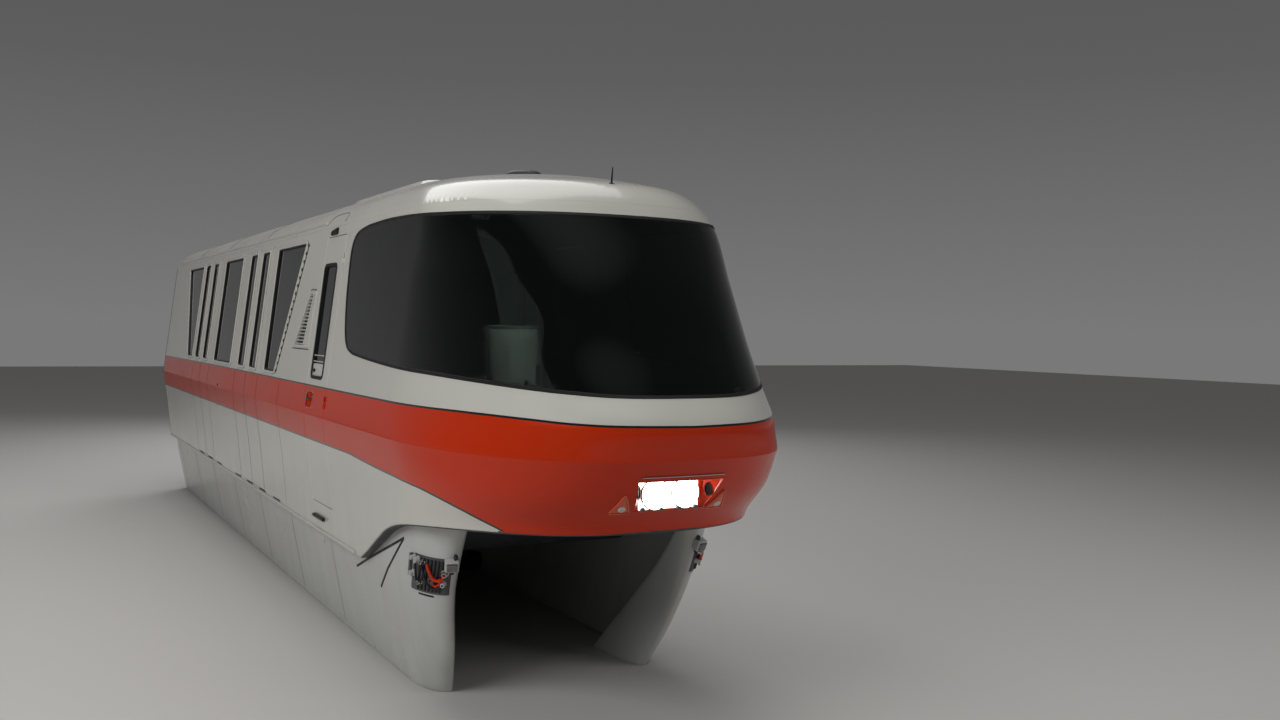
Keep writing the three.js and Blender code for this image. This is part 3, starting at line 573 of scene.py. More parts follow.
def put(name, parts, nodes=(), body="car_body"):
    """Makes one piece of the parts, which rides a body and may stand for solids."""
    parts = parts if isinstance(parts, list) else [parts]
    bpy.ops.object.select_all(action="DESELECT")
    for part in parts:
        part.select_set(True)
    obj = bpy.context.view_layer.objects.active = parts[0]
    if len(parts) > 1:
        bpy.ops.object.join()
    obj.name = obj.data.name = name
    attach(obj, body)
    if nodes:
        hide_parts(*nodes)
    return obj


def dress(mat, *nodes):
    """A better material for solids that stay."""
    for node in nodes:
        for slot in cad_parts[node].material_slots:
            slot.material = mat


# Materials
SOCKETS = {
    "coat": "Coat Weight",
    "coat_roughness": "Coat Roughness",
    "transmission": "Transmission Weight",
    "ior": "IOR",
    "specular": "Specular IOR Level",
    "glow": "Emission Strength",
}
DIRT = (0.25, 0.22, 0.18)


def material(name, colour, roughness, metallic=0.0, **more):
    made = bpy.data.materials.new(name)
    made.use_nodes = True
    shader = made.node_tree.nodes["Principled BSDF"]
    shader.inputs["Base Color"].default_value = (*colour, 1)
    shader.inputs["Roughness"].default_value = roughness
    shader.inputs["Metallic"].default_value = metallic
    for key, value in more.items():
        shader.inputs[SOCKETS[key]].default_value = value
    return made


def object_place(tree):
    return tree.nodes.new("ShaderNodeTexCoord").outputs["Object"]


def noise_node(tree, scale, detail, stretch=(1, 1, 1), roughness=0.5):
    mapping = tree.nodes.new("ShaderNodeMapping")
    mapping.inputs["Scale"].default_value = stretch
    tree.links.new(object_place(tree), mapping.inputs["Vector"])
    noise = tree.nodes.new("ShaderNodeTexNoise")
    noise.inputs["Scale"].default_value = scale
    noise.inputs["Detail"].default_value = detail
    noise.inputs["Roughness"].default_value = roughness
    tree.links.new(mapping.outputs["Vector"], noise.inputs["Vector"])
    return noise.outputs["Fac"]


def ramp(tree, source, *stops):
    """A grey ramp from (place, value) stops."""
    node = tree.nodes.new("ShaderNodeValToRGB")
    shades = node.color_ramp.elements
    while len(shades) < len(stops):
        shades.new(0.5)
    for shade, (place, value) in zip(shades, stops):
        shade.position = place
        shade.color = (value, value, value, 1)
    tree.links.new(source, node.inputs["Fac"])
    return node.outputs["Color"]


def mixed(tree, factor, a, b, mode="MIX"):
    node = tree.nodes.new("ShaderNodeMix")
    node.data_type = "RGBA"
    node.blend_type = mode
    for source, socket in ((factor, node.inputs["Factor"]), (a, node.inputs["A"]), (b, node.inputs["B"])):
        if isinstance(source, float):
            socket.default_value = source
        elif isinstance(source, tuple):
            socket.default_value = (*source, 1)
        else:
            tree.links.new(source, socket)
    return node.outputs["Result"]


def feed(tree, source, socket):
    tree.links.new(source, tree.nodes["Principled BSDF"].inputs[socket])


def bump(tree, height, strength, distance):
    node = tree.nodes.new("ShaderNodeBump")
    node.inputs["Strength"].default_value = strength
    node.inputs["Distance"].default_value = distance
    tree.links.new(height, node.inputs["Height"])
    feed(tree, node.outputs["Normal"], "Normal")


def paint(name, colour, dirty, roughness=0.22, coat=0.6, **more):
    """Gloss paint with faint mottling, and dirt that thickens towards the sill."""
    made = material(name, colour, roughness, coat=coat, coat_roughness=0.06, **more)
    tree = made.node_tree
    mottle = ramp(tree, noise_node(tree, 0.9, 3, (0.6, 1, 1.6)), (0.3, 0.95), (0.7, 1.0))
    clean = mixed(tree, 1.0, colour, mottle, "MULTIPLY")
    split = tree.nodes.new("ShaderNodeSeparateXYZ")
    tree.links.new(object_place(tree), split.inputs["Vector"])
    low = tree.nodes.new("ShaderNodeMapRange")
    low.inputs["From Min"].default_value = 0.75
    low.inputs["From Max"].default_value = -0.6
    tree.links.new(split.outputs["Z"], low.inputs["Value"])
    streaks = ramp(tree, noise_node(tree, 3, 3, (1.5, 1, 0.25)), (0.35, 0.1), (0.85, 1.0))
    amount = mixed(tree, 1.0, low.outputs["Result"], streaks, "MULTIPLY")
    amount = mixed(tree, dirty, (0, 0, 0), amount)
    feed(tree, mixed(tree, amount, clean, DIRT), "Base Color")
    rough = ramp(tree, noise_node(tree, 1.3, 2), (0.3, roughness * 0.9), (0.75, roughness * 1.15))
    feed(tree, rough, "Roughness")
    bump(tree, noise_node(tree, 1.6, 1), 0.15, 0.004)
    return made


def surface(name, colour, roughness, metallic=0.0, vary=0.2, scale=3.0, grain=150.0, depth=0.1, **more):
    """A finish with a cloudy tone, an uneven gloss and a fine grain."""
    made = material(name, colour, roughness, metallic, **more)
    tree = made.node_tree
    tone = ramp(tree, noise_node(tree, scale, 6, roughness=0.6), (0.3, 1 - vary), (0.7, 1.0))
    feed(tree, mixed(tree, 1.0, colour, tone, "MULTIPLY"), "Base Color")
    low, high = roughness * 0.8, min(roughness * 1.25, 1)
    feed(tree, ramp(tree, noise_node(tree, scale * 4, 4), (0.3, low), (0.7, high)), "Roughness")
    bump(tree, noise_node(tree, grain, 3), depth, 0.0008)
    return made


def ribbed(direction, pitch, depth, *finish, **more):
    """A finish with fine parallel ribs."""
    made = surface(*finish, **more)
    tree = made.node_tree
    wave = tree.nodes.new("ShaderNodeTexWave")
    wave.bands_direction = direction
    wave.inputs["Scale"].default_value = math.pi / (10 * pitch)
    wave.inputs["Distortion"].default_value = 0.4
    wave.inputs["Detail"].default_value = 1.0
    tree.links.new(object_place(tree), wave.inputs["Vector"])
    bump(tree, wave.outputs["Fac"], depth, 0.002)
    return made


WHITE = paint("white_paint", (0.66, 0.65, 0.59), 0.22)
RED = paint("red_paint", (0.60, 0.030, 0.001), 0.05, coat=0.12, specular=0.3)
STRIPE = paint("stripe_paint", (0.012, 0.012, 0.013), 0.1)
LINING = surface("inner_lining", (0.36, 0.35, 0.33), 0.6)
CAB_LINING = surface("cab_lining", (0.085, 0.085, 0.08), 0.7)
PALE = paint("skirt_paint", (0.56, 0.57, 0.55), 0.3, roughness=0.3, coat=0.3)
BLACK = surface("black_rubber", (0.016, 0.016, 0.017), 0.55)
DARK = surface("black_plastic", (0.028, 0.029, 0.031), 0.45, scale=8, depth=0.2)
CHROME = surface("chrome", (0.62, 0.62, 0.61), 0.16, 1.0, vary=0.15)
STEEL = surface("worn_steel", (0.34, 0.33, 0.32), 0.42, 1.0, vary=0.45, scale=14)
BOGIE = surface("bogie_paint", (0.10, 0.105, 0.11), 0.55, vary=0.55, scale=9, depth=0.3)
TYRE = surface("tyre_rubber", (0.022, 0.021, 0.020), 0.82, vary=0.4, scale=22, depth=0.4)
BELLOWS = ribbed("DIAGONAL", 0.003, 0.25, "bellows_cloth", (0.125, 0.142, 0.18), 0.72, vary=0.3, scale=5)
FLOORING = ribbed("Y", 0.02, 0.5, "ribbed_flooring", (0.20, 0.20, 0.20), 0.7, vary=0.35, scale=6)
SEATING = surface("seat_vinyl", (0.030, 0.055, 0.10), 0.5, vary=0.25, scale=12, grain=320, depth=0.5)
CAB_SEATING = surface("cab_seat_vinyl", (0.60, 0.60, 0.56), 0.55, vary=0.2, scale=12, grain=320, depth=0.5)
GLASS = surface("tinted_glass", (0.045, 0.060, 0.055), 0.02, scale=1.5, depth=0.01, transmission=0.97,
                ior=1.45)
SIDE_GLASS = surface("side_glass", (0.016, 0.018, 0.020), 0.025, vary=0.25, scale=1.5, depth=0.01,
                     transmission=0.3, ior=1.5)
AMBER = ribbed("Z", 0.006, 0.6, "marker_lens", (0.85, 0.13, 0.045), 0.2, coat=0.5)
LAMP = ribbed("Y", 0.010, 0.5, "lamp_lens", (0.9, 0.9, 0.86), 0.1, glow=9.0)
REFLECTOR = surface("lamp_reflector", (0.9, 0.9, 0.88), 0.15, 0.6, glow=3.0)
for lit in (LAMP, REFLECTOR):
    lit.node_tree.nodes["Principled BSDF"].inputs["Emission Color"].default_value = (1.0, 0.98, 0.92, 1)
BODY_PAINTS = (WHITE, RED, STRIPE, LINING)
INNER_FACE = 3

# The red band and its dark edges. Columns: u, height of the edge
BAND_HIGH = Curve([
    (0.00, 1.104), (0.28, 1.108), (0.58, 1.111), (0.88, 1.121), (1.09, 1.134), (1.41, 1.147), (1.69, 1.152),
    (3.84, 1.150), (7.90, 1.150), (14.0, 1.135),
])
BAND_LOW = Curve([
    (0.00, 0.300), (0.60, 0.330), (0.90, 0.365), (1.14, 0.415), (1.25, 0.452), (1.41, 0.502), (1.53, 0.537),
    (1.70, 0.578), (1.85, 0.607), (2.06, 0.636), (2.46, 0.657), (2.85, 0.667), (3.28, 0.682), (3.74, 0.700),
    (14.0, 0.700),
])
STRIPE_WIDTH = 0.014
# Which edge of the band each painted line follows, and how far above it
PAINT_LINES = ((0, 0), (0, STRIPE_WIDTH), (1, 0), (1, -STRIPE_WIDTH))


def band(u):
    """Heights of the band's upper and lower edges."""
    u = np.minimum(np.abs(u), 13.9)
    return np.stack([BAND_HIGH(u), BAND_LOW(u)], -1)


def band_zone(u, t):
    """0 white, 1 red, 2 dark stripe."""
    z = level(t)[..., 0]
    high, low = np.moveaxis(band(u), -1, 0)
    red = (z < high) & (z > low)
    stripe = ((z >= high) & (z < high + STRIPE_WIDTH)) | ((z <= low) & (z > low - STRIPE_WIDTH))
    return np.where(red, 1, np.where(stripe, 2, 0))


# The lower edge under the nose. Columns: distance behind the datum, height
BELLY = Curve([
    (0.00, 0.421), (0.20, 0.420), (0.60, 0.410), (1.00, 0.385), (1.40, 0.345), (1.67, 0.300), (1.94, 0.225),
    (2.16, 0.130), (2.48, -0.020), (2.69, -0.110),
])
BELLY_END = 2.69

# The windshield's lower, upper and rear edges in side view
SHIELD_CORNERS = ((2.80, 1.468), (2.79, 2.466))
SHIELD_LOW = Curve([
    (-0.80, 1.268), (-0.19, 1.284), (0.0, 1.304), (0.50, 1.350), (1.00, 1.380), (1.50, 1.398),
    (1.90, 1.414), (2.40, 1.440), SHIELD_CORNERS[0],
])
SHIELD_HIGH = Curve([
    (-0.80, 2.430), (0.57, 2.437), (1.20, 2.445), (1.90, 2.470), (2.30, 2.476), SHIELD_CORNERS[1],
])
SHIELD_REAR = [
    SHIELD_CORNERS[0], (2.95, 1.496), (3.04, 1.550), (3.10, 1.640), (3.15, 1.760), (3.20, 1.930),
    (3.225, 2.130), (3.235, 2.290), (3.19, 2.385), (3.08, 2.440), SHIELD_CORNERS[1],
]


def shield_loop(grow=0.0):
    """Half of the windshield's outline as (u, t), from the centre line at the bottom round to the top."""
    low_end, high_end = (u_of(b, t_of(z)) for b, z in SHIELD_CORNERS)
    low = on_edge(SHIELD_LOW, 1.35, np.linspace(0, low_end, 120))
    high = on_edge(SHIELD_HIGH, 2.45, np.linspace(high_end, 0, 120))
    rear = behind(*bt(smoothed(SHIELD_REAR)[1:-1]).T)
    loop = np.concatenate([low, rear, high])
    if grow:
        ahead = np.roll(loop, -1, 0) - np.roll(loop, 1, 0)
        ahead[0], ahead[-1] = loop[1] - loop[0], loop[-1] - loop[-2]
        out = np.stack([ahead[:, 1], -ahead[:, 0]], 1)
        loop = loop + out / np.linalg.norm(out, axis=1)[:, None] * grow
        loop[0, 0] = loop[-1, 0] = 0
    return loop


# The headlamp pocket: heights of its lower and upper edge, and its half width there
LAMP_Z = (0.572, 0.776)
LAMP_HALF = (0.250, 0.305)


def lamp_hole():
    """The pocket's half outline as (u, t), with each point twice, which keeps its bezel's corners square."""
    u = np.linspace(0, 0.6, 400)
    rows = []
    for z in np.linspace(*LAMP_Z, 8):
        y = skin(u, np.full_like(u, t_of(z)))[:, 1]
        rows.append((float(np.interp(np.interp(z, LAMP_Z, LAMP_HALF), y, u)), float(t_of(z))))
    return np.repeat([(0, rows[0][1]), *rows, (0, rows[-1][1])], 2, axis=0)[1:-1]


# Nose and windshield
NOSE_REAR = 3.45
shield, lamp_half = shield_loop(), lamp_hole()
lip_line = on_edge(BELLY, 0.3, np.linspace(0, float(u_of(BELLY_END, t_of(SILL_Z))), 90))
nose_outline = np.concatenate([
    lip_line, behind(NOSE_REAR, t_of(np.linspace(SILL_Z, SIDE_TOP, 60))), [(0, t_of(SIDE_TOP))],
])
u = np.linspace(0, 13.5, 400)
u = u[u <= 6]
nose_lines = [np.stack([u, t_of(band(u)[:, column] + offset)], 1) for column, offset in PAINT_LINES]
nose = plate(nose_outline, skin, BODY_PAINTS, band_zone, [past_middle(shield), past_middle(lamp_half)],
             nose_lines + crease(0, 9), mirror=True, inner=INNER_FACE)
put("nose_skin", true_shading(nose), ["nose_shell"])
pane = plate(shield_loop(-0.012), skin, (GLASS,), mirror=True, depth=0.008, bevel=0.001)
put("windshield_glass", true_shading(pane), ["windshield"])

# Side walls, cab doors, passenger doors and windows, as in the solids
DOOR_GAP = 0.006
LEAF_GAP = 0.003
CAB_DOOR_FRONT = NOSE_REAR + DOOR_GAP
CAB_DOOR_Z = (0.150, 2.440)
LEAF_Z = (-0.06, 2.47)
DOORWAYS = ((6.320, 7.620), (9.450, 10.750))
# Columns: front and rear of the leaf, front and rear of its light
LEAVES = {
    "front_door_fore": (6.320, 6.970, 6.490, 6.840),
    "front_door_aft": (6.970, 7.620, 7.140, 7.490),
    "rear_door_fore": (9.450, 10.100, 9.650, 10.000),
    "rear_door_aft": (10.100, 10.750, 10.290, 10.640),
}
WINDOW_Z = (1.22, 2.43)
WINDOW_MIDDLE_Z = 1.825
# Columns: front and rear at the bottom, front and rear at the top
WINDOWS = {
    "front": (5.560, 6.030, 4.840, 6.060),
    "middle": (7.980, 9.120, 7.980, 9.120),
    "rear": (10.900, 11.330, 10.880, 12.150),
}
CAB_WINDOW = rectangle(3.64, 4.04, 1.23, 2.20)
LOUVRE = [(4.285, 1.485), (4.86, 1.485), (4.46, 1.97), (4.24, 1.97)]
HANDLE = rectangle(3.885, 4.095, 0.965, 1.105)
WALL_REAR = 13.65
heights = np.linspace(*CAB_DOOR_Z, 24)
door_rear = 4.16 - (1.3 - level(t_of(heights))[:, 1]) * 0.42


def window_loop(low_front, low_rear, high_front, high_rear):
    low, high = WINDOW_Z
    return rounded([(low_front, low), (low_rear, low), (high_rear, high), (high_front, high)], 0.03)


def side_plate(outline, side, front, rear, holes, step=(0.16, 0.05)):
    """A painted panel of the side, with its outlines in (b, z)."""
    b = np.linspace(front - 0.1, rear + 0.1, 60)
    lines = []
    for column, offset in PAINT_LINES:
        z = np.full(len(b), 1.0)
        for _ in range(3):
            z = band(u_of(b, t_of(z)))[:, column] + offset
        lines.append(np.stack([b, t_of(z)], 1))
    return true_shading(plate(bt(outline), side_skin, BODY_PAINTS, lambda b, t: band_zone(u_of(b, t), t),
                              [bt(hole) for hole in holes], lines + crease(3, 14), side=side,
                              inner=INNER_FACE, step=step))


def window_frame(name, loop, side_name, side):
    """A light frame round a window, with a black seal along its inner edge and a thin flat black strip round
    its outside, which is painted shadow at the frame's foot.
    """
    outer = bt(loop + 0.018 * np.copysign(1, loop - [loop[:, 0].mean(), WINDOW_MIDDLE_Z]))
    put(f"{name}_frame_{side_name}", [
        moulding(bt(loop), side_skin, bead(0.016, -0.020, 0.003), BLACK, side),
        moulding(outer, side_skin, bead(0.026, -0.004, 0.012, 0.005), WHITE, side),
        # The flat black strip just outside the raised frame is painted shadow: the shade the frame would cast
        # on the wall.
        moulding(outer, side_skin, bead(0.034, -0.004, 0.001, 0.0005), BLACK, side),
    ])


for side_name, side in SIDES:
    notch = np.stack([door_rear + DOOR_GAP, heights], 1)
    front_edge = NOSE_REAR + 0.0005
    notch_low, notch_high = CAB_DOOR_Z[0] - DOOR_GAP, CAB_DOOR_Z[1] + DOOR_GAP
    outline = [(front_edge, SILL_Z), (WALL_REAR, SILL_Z), (WALL_REAR, SIDE_TOP), (front_edge, SIDE_TOP),
               (front_edge, notch_high), (notch[-1][0], notch_high), *notch[::-1],
               (notch[0][0], notch_low), (front_edge, notch_low)]
    holes = [[(a, WINDOW_Z[0]), (b, WINDOW_Z[0]), (d, WINDOW_Z[1]), (c, WINDOW_Z[1])]
             for a, b, c, d in WINDOWS.values()]
    holes += [*[rectangle(*doorway, *LEAF_Z) for doorway in DOORWAYS], LOUVRE]
    wall = side_plate(outline, side, 3.4, 13.7, holes)
    put(f"side_skin_{side_name}", wall, [f"side_wall_{side_name}"])

    # Cab door, with its window in a black gasket
    door_body = "cab_door_" + side_name
    outline = [(CAB_DOOR_FRONT, CAB_DOOR_Z[0]), *zip(door_rear, heights), (CAB_DOOR_FRONT, CAB_DOOR_Z[1])]
    light = rounded(CAB_WINDOW, 0.05)
    holes = [light, rounded(HANDLE, 0.03)]
    panel = side_plate(rounded(outline, 0.012, 2), side, 3.4, 4.3, holes, (0.06, 0.05))
    put(f"cab_door_skin_{side_name}", panel, [f"cab_door_{side_name}"], door_body)
    gasket = moulding(bt(light), side_skin, bead(0.028, -0.02, 0.005), BLACK, side)
    put(f"cab_window_gasket_{side_name}", gasket, body=door_body)

    # Passenger door leaves
    for leaf_name, (front, rear, light_front, light_rear) in LEAVES.items():
        light = rounded(rectangle(light_front, light_rear, *WINDOW_Z), 0.03)
        outline = rectangle(front + LEAF_GAP, rear - LEAF_GAP, LEAF_Z[0] + LEAF_GAP, LEAF_Z[1] - LEAF_GAP)
        panel = side_plate(rounded(outline, 0.01, 2), side, front - 0.1, rear + 0.1, [light], (0.12, 0.05))
        put(f"{leaf_name}_skin_{side_name}", panel, [f"{leaf_name}_leaf_{side_name}"])
        glass = plate(bt(light), lambda b, t: side_skin(b, t) - [0, 0.012, 0], (SIDE_GLASS,), side=side,
                      depth=0.006, bevel=0, step=(0.2, 0.2), edge=0.1)
        put(f"{leaf_name}_glass_{side_name}", glass)
        window_frame(leaf_name, light, side_name, side)

    for window_name, row in WINDOWS.items():
        window_frame(window_name, window_loop(*row), side_name, side)

# Roof
ROOF_REAR = 13.61
rear_t = np.linspace(t_of(SIDE_TOP), TOP, 40)
roof_outline = np.concatenate([[(0, rear_t[0] + 0.0005)], behind(ROOF_REAR, rear_t), [(0, TOP)]])
roof = plate(roof_outline, skin, (WHITE, LINING), mirror=True, inner=1, step=(0.09, 0.035))
put("roof_skin", true_shading(roof), ["roof"])

# Skirts and front legs. Columns: height, front edge, end of the lip, half width
SKIRT = Curve([
    (-0.950, 1.700, 2.380, 0.960),
    (-0.600, 1.480, 2.040, 1.030),
    (-0.200, 1.310, 1.660, 1.105),
    (-0.100, 1.270, 1.565, 1.118),
    (0.410, 1.055, 1.135, 1.130),
])
LEG_LENGTH, LEG_INWARD, LEG_LIP = 0.42, 0.17, 0.095
SKIRT_FOOT = -0.95
SKIRT_REAR = DATUM_X - (REAR_X + 0.06)
FLOOR_TOP = 0.05


def leg_point(place, z):
    """A point of the skirt's outside: place runs from 0 at the rear over 1 at the leg's bend to 2 and 3."""
    front, lip_end, outer = np.moveaxis(SKIRT(z), -1, 0)
    quarter = math.pi / 2
    turn = np.clip(place - 1, 0, 1) * quarter
    lip = np.clip(place - 2, 0, 1) * quarter
    straight = SKIRT_REAR + (front + LEG_LENGTH - SKIRT_REAR) * np.clip(place, 0, 1)
    b = straight - LEG_LENGTH * np.sin(turn) + (lip_end - front) * (1 - np.cos(lip))
    y = outer - LEG_INWARD * (1 - np.cos(turn)) - LEG_LIP * np.sin(lip)
    return np.stack([DATUM_X - b, y, z], -1)


def leg_side(b, z):
    """The same surface by distance behind the datum and height."""
    front = SKIRT(z)[..., 0]
    return leg_point((SKIRT_REAR - b) / (SKIRT_REAR - front - LEG_LENGTH), z)


places = np.concatenate([
    np.linspace(0, 0.80, 30), np.linspace(0.81, 1, 30), np.linspace(1.02, 2, 30), np.linspace(2.05, 3, 12),
])
skirt_top = np.zeros_like(places)
for _ in range(40):
    b = DATUM_X - leg_point(places, skirt_top)[:, 0]
    limit = np.where(b > 2.78, FLOOR_TOP, BELLY(np.minimum(b, BELLY_END)) - 0.002)
    skirt_top = 0.5 * skirt_top + 0.5 * limit
for side_name, side in SIDES:
    rows = [leg_point(places, SKIRT_FOOT + (skirt_top - SKIRT_FOOT) * share) * [1, side, 1]
            for share in np.arange(31) / 30]
    skirt = thick(sheet(rows, PALE, flip=side > 0), 0.033, 0, 0.006, 60)
    for vertex in skirt.data.vertices:
        vertex.co.z = max(vertex.co.z, SKIRT_FOOT)
    put(f"skirt_skin_{side_name}", skirt, [f"skirt_{side_name}"])

# Nose: windshield seal, rolled lip and belly
put("windshield_gasket", moulding(whole(shield), skin, bead(0.026, -0.02, 0.004), BLACK))
red_end = int(np.argmin(band_zone(lip_line[:, 0], lip_line[:, 1] + 0.02) == 1))
lips = [bar(whole(lip_line[:red_end + 1]), skin, round_bead(0.008, -0.007), RED)]
for k in BOTH:
    lips.append(bar(lip_line[red_end:] * [k, 1], skin, round_bead(0.011, -0.010), WHITE))
put("nose_lip", lips)
# The sheet under the nose takes the dark bogie paint as painted shade: the underside stands in shadow and
# shows only dark.
rows = [[(x, (y - 0.012) * k if y > 0.02 else 0.01 * k, z + 0.004) for k in np.linspace(-1, 1, 25)]
        for x, y, z in skin(*lip_line.T)]
put("belly_panel", thick(sheet(rows, BOGIE), 0.02))

# Headlamps in their splayed pocket, and the marker lamps beside them
LAMP_X, LAMP_BACK_HALF, LAMP_WALL = 6.690, 0.212, 0.004
rim_profile = [(-0.004, -0.05), (-0.004, 0.002), (0.004, 0.002), (0.004, -0.05)]
put("headlamp_bezel", moulding(whole(lamp_half), skin, rim_profile, RED, step=0.02))
(low_y, high_y), (low, high) = LAMP_HALF, LAMP_Z
mouth_yz = spaced([(-low_y, low), (low_y, low), (high_y, high), (-high_y, high), (-low_y, low)], 0.03, False)
mouth = skin(*on_front(mouth_yz).T)
y, z = mouth_yz.T
back_y = y / np.interp(z, LAMP_Z, LAMP_HALF) * LAMP_BACK_HALF
back_z = low + LAMP_WALL + (z - low) / (high - low) * (high - low - 2 * LAMP_WALL)
back = np.stack([np.full(len(y), LAMP_X - LAMP_WALL), back_y, back_z], 1)
pocket = [thick(sheet([mouth, mouth * 0.5 + back * 0.5, back], RED), LAMP_WALL)]
for k in BOTH:
    oval = turned([(0, 0.004), (0.017, 0.004), (0.020, 0.010), (0.024, 0.010), (0.026, 0.0), (0, 0.0)],
                  BLACK, (0, 0, 0), Vector((1.0, -k * 0.85, 0.1)).normalized(), 28)
    oval.data.transform(Matrix.Translation((6.752, k * 0.252, 0.696)) @ Matrix.Diagonal((1, 1, 1.7, 1)))
    pocket.append(oval)
put("headlamp_pocket", pocket)
housing = [block((6.600, -0.214, low + 0.002), (LAMP_X, 0.214, high - 0.002), REFLECTOR)]
lenses = []
for y in (-0.108, 0.108):
    at = (LAMP_X, y, (low + high) / 2)
    housing.append(turned([(0.100, 0), (0.100, 0.026), (0.098, 0.030), (0.094, 0.028), (0.092, 0.012),
                           (0, 0.006)], CHROME, at, (1, 0, 0), 48))
    lenses.append(turned([(0, 0.036), (0.035, 0.035), (0.065, 0.031), (0.091, 0.022), (0.091, 0.012),
                          (0, 0.012)], LAMP, at, (1, 0, 0), 48))
put("headlamp_housing", housing, ["headlamp_unit"])
put("headlamp_lenses", lenses)
brow = on_front([(y, 0.806) for y in np.linspace(-0.29, 0.29, 30)])
put("headlamp_brow", bar(brow, skin, bead(0.008, -0.004, 0.008, 0.002), CHROME))
lug = [(0, -0.02), (0.015, -0.02), (0.015, 0.010), (0.010, 0.016), (0, 0.017)]
lugs = [turned(lug, STEEL, skin(*on_front([(y, 0.580)])[0]), (1, 0, 0.1), 16)
        for y in (-0.19, -0.065, 0.065, 0.19)]
put("headlamp_lugs", lugs)
lamps, rims = [], []
for k in BOTH:
    shape = rounded(on_front([(k * 0.272, 0.566), (k * 0.405, 0.566), (k * 0.352, 0.695)]), 0.02)
    raised = swollen(skin, shape, 0.012, 0.03)
    lamps.append(plate(shape, raised, (AMBER,), depth=0.006, bevel=0, step=(0.012, 0.010), edge=0.012))
    rims.append(moulding(shape, skin, bead(0.009, -0.004, 0.012, 0.003), AMBER, step=0.012))
    bulb = on_front([(k * 0.340, 0.602)])[0]
    rims.append(turned([(0, -0.004), (0.024, -0.004), (0.024, 0.004), (0.019, 0.008), (0.012, 0.007),
                        (0.010, 0.003), (0, 0.003)], WHITE, spot(raised, *bulb)[0], spot(skin, *bulb)[1], 28))
put("marker_lamps", lamps)
put("marker_rims", rims)

# Inner pillars behind the windshield
pillars = []
for k in BOTH:
    for (low_u, low_z), (high_u, high_z) in (((3.36, 1.49), (3.56, 2.44)), ((0.655, 1.42), (1.00, 2.42))):
        line = np.stack([np.linspace(low_u, high_u, 16) * k, t_of(np.linspace(low_z, high_z, 16))], 1)
        pillars.append(bar(line, shifted(skin, -0.03), bead(0.040, -0.03, 0.0), CAB_LINING))
put("windshield_pillars", pillars)

# Roof: raised fairing, horn pod, aerial, gutters and joints
FAIRING_FRONT, FAIRING_REAR, FAIRING_HALF, FAIRING_TOP = 3.30, 5.60, 0.52, 2.948
ROOF_Z, ROOF_Y = LEVELS[ROOF_ROW:][::-1, :2].T


def roof_plan(b, y):
    """Points of the roof by their plan."""
    return np.stack([DATUM_X - b, y, np.interp(np.abs(y), ROOF_Y, ROOF_Z)], -1)


s, r = np.meshgrid(np.linspace(-1, 1, 41), np.linspace(-1, 1, 25), indexing="ij")
b = (FAIRING_FRONT + FAIRING_REAR) / 2 + s * (FAIRING_REAR - FAIRING_FRONT) / 2
rows = roof_plan(b, FAIRING_HALF * r)
rows[..., 2] -= 0.012
crown = (1 - np.abs(s) ** 14) ** (1 / 3) * (1 - np.abs(r) ** 7) ** (1 / 3)
rows[..., 2] += (FAIRING_TOP - rows[..., 2]) * crown
put("roof_fairing", thick(sheet(rows, WHITE), 0.02))
loop = rounded(rectangle(FAIRING_FRONT - 0.012, FAIRING_REAR + 0.012, -0.532, 0.532), 0.05)
put("fairing_seal", moulding(loop, roof_plan, bead(0.012, -0.006, 0.004), BLACK, step=0.04))
pod_x, pod_z = DATUM_X - 2.33, 2.874
rows = []
for s in np.linspace(0, math.pi / 2, 15):
    turn = np.linspace(0, 2 * math.pi, 49)
    size = math.cos(s) ** 0.55
    lift = np.full(49, pod_z + 0.056 * math.sin(s) ** 0.9)
    rows.append(np.stack([pod_x + 0.155 * size * np.cos(turn), 0.15 * size * np.sin(turn), lift], 1))
pod = [
    outward(merged(sheet(rows, DARK), 1e-4)),
    turned([(0, -0.02), (0.160, -0.02), (0.162, 0.006), (0.152, 0.012), (0, 0.012)], BLACK, (pod_x, 0, pod_z),
           segments=48),
]
for k in range(4):
    slat = [(pod_x + 0.145 - 0.012 * k, y, pod_z + 0.012 + 0.008 * k) for y in np.linspace(-0.07, 0.07, 6)]
    pod.append(tube(slat, 0.003, BLACK, 6))
put("horn_pod_cover", pod, ["horn_pod"])
put("antenna", turned([(0, 0), (0.022, 0), (0.020, 0.012), (0.007, 0.020), (0.004, 0.11), (0.0025, 0.125),
                       (0, 0.127)], BLACK, (5.84, 0, 2.668), (0.15, 0, 1), 16))
roof_parts = []
for k in BOTH:
    line = behind(np.linspace(4.30, 13.45, 60), np.full(60, t_of(2.585)), k)
    roof_parts.append(bar(line, skin, bead(0.022, -0.006, 0.010, 0.004), WHITE, step=0.3))
for b in (6.97, 9.30, 11.60):
    for k in BOTH:
        line = behind(b, np.linspace(t_of(2.60), TOP - 0.004, 24), k)
        roof_parts.append(bar(line, skin, bead(0.010, -0.004, 0.0015, 0.0005), BLACK, step=0.08))
put("roof_gutters", roof_parts)

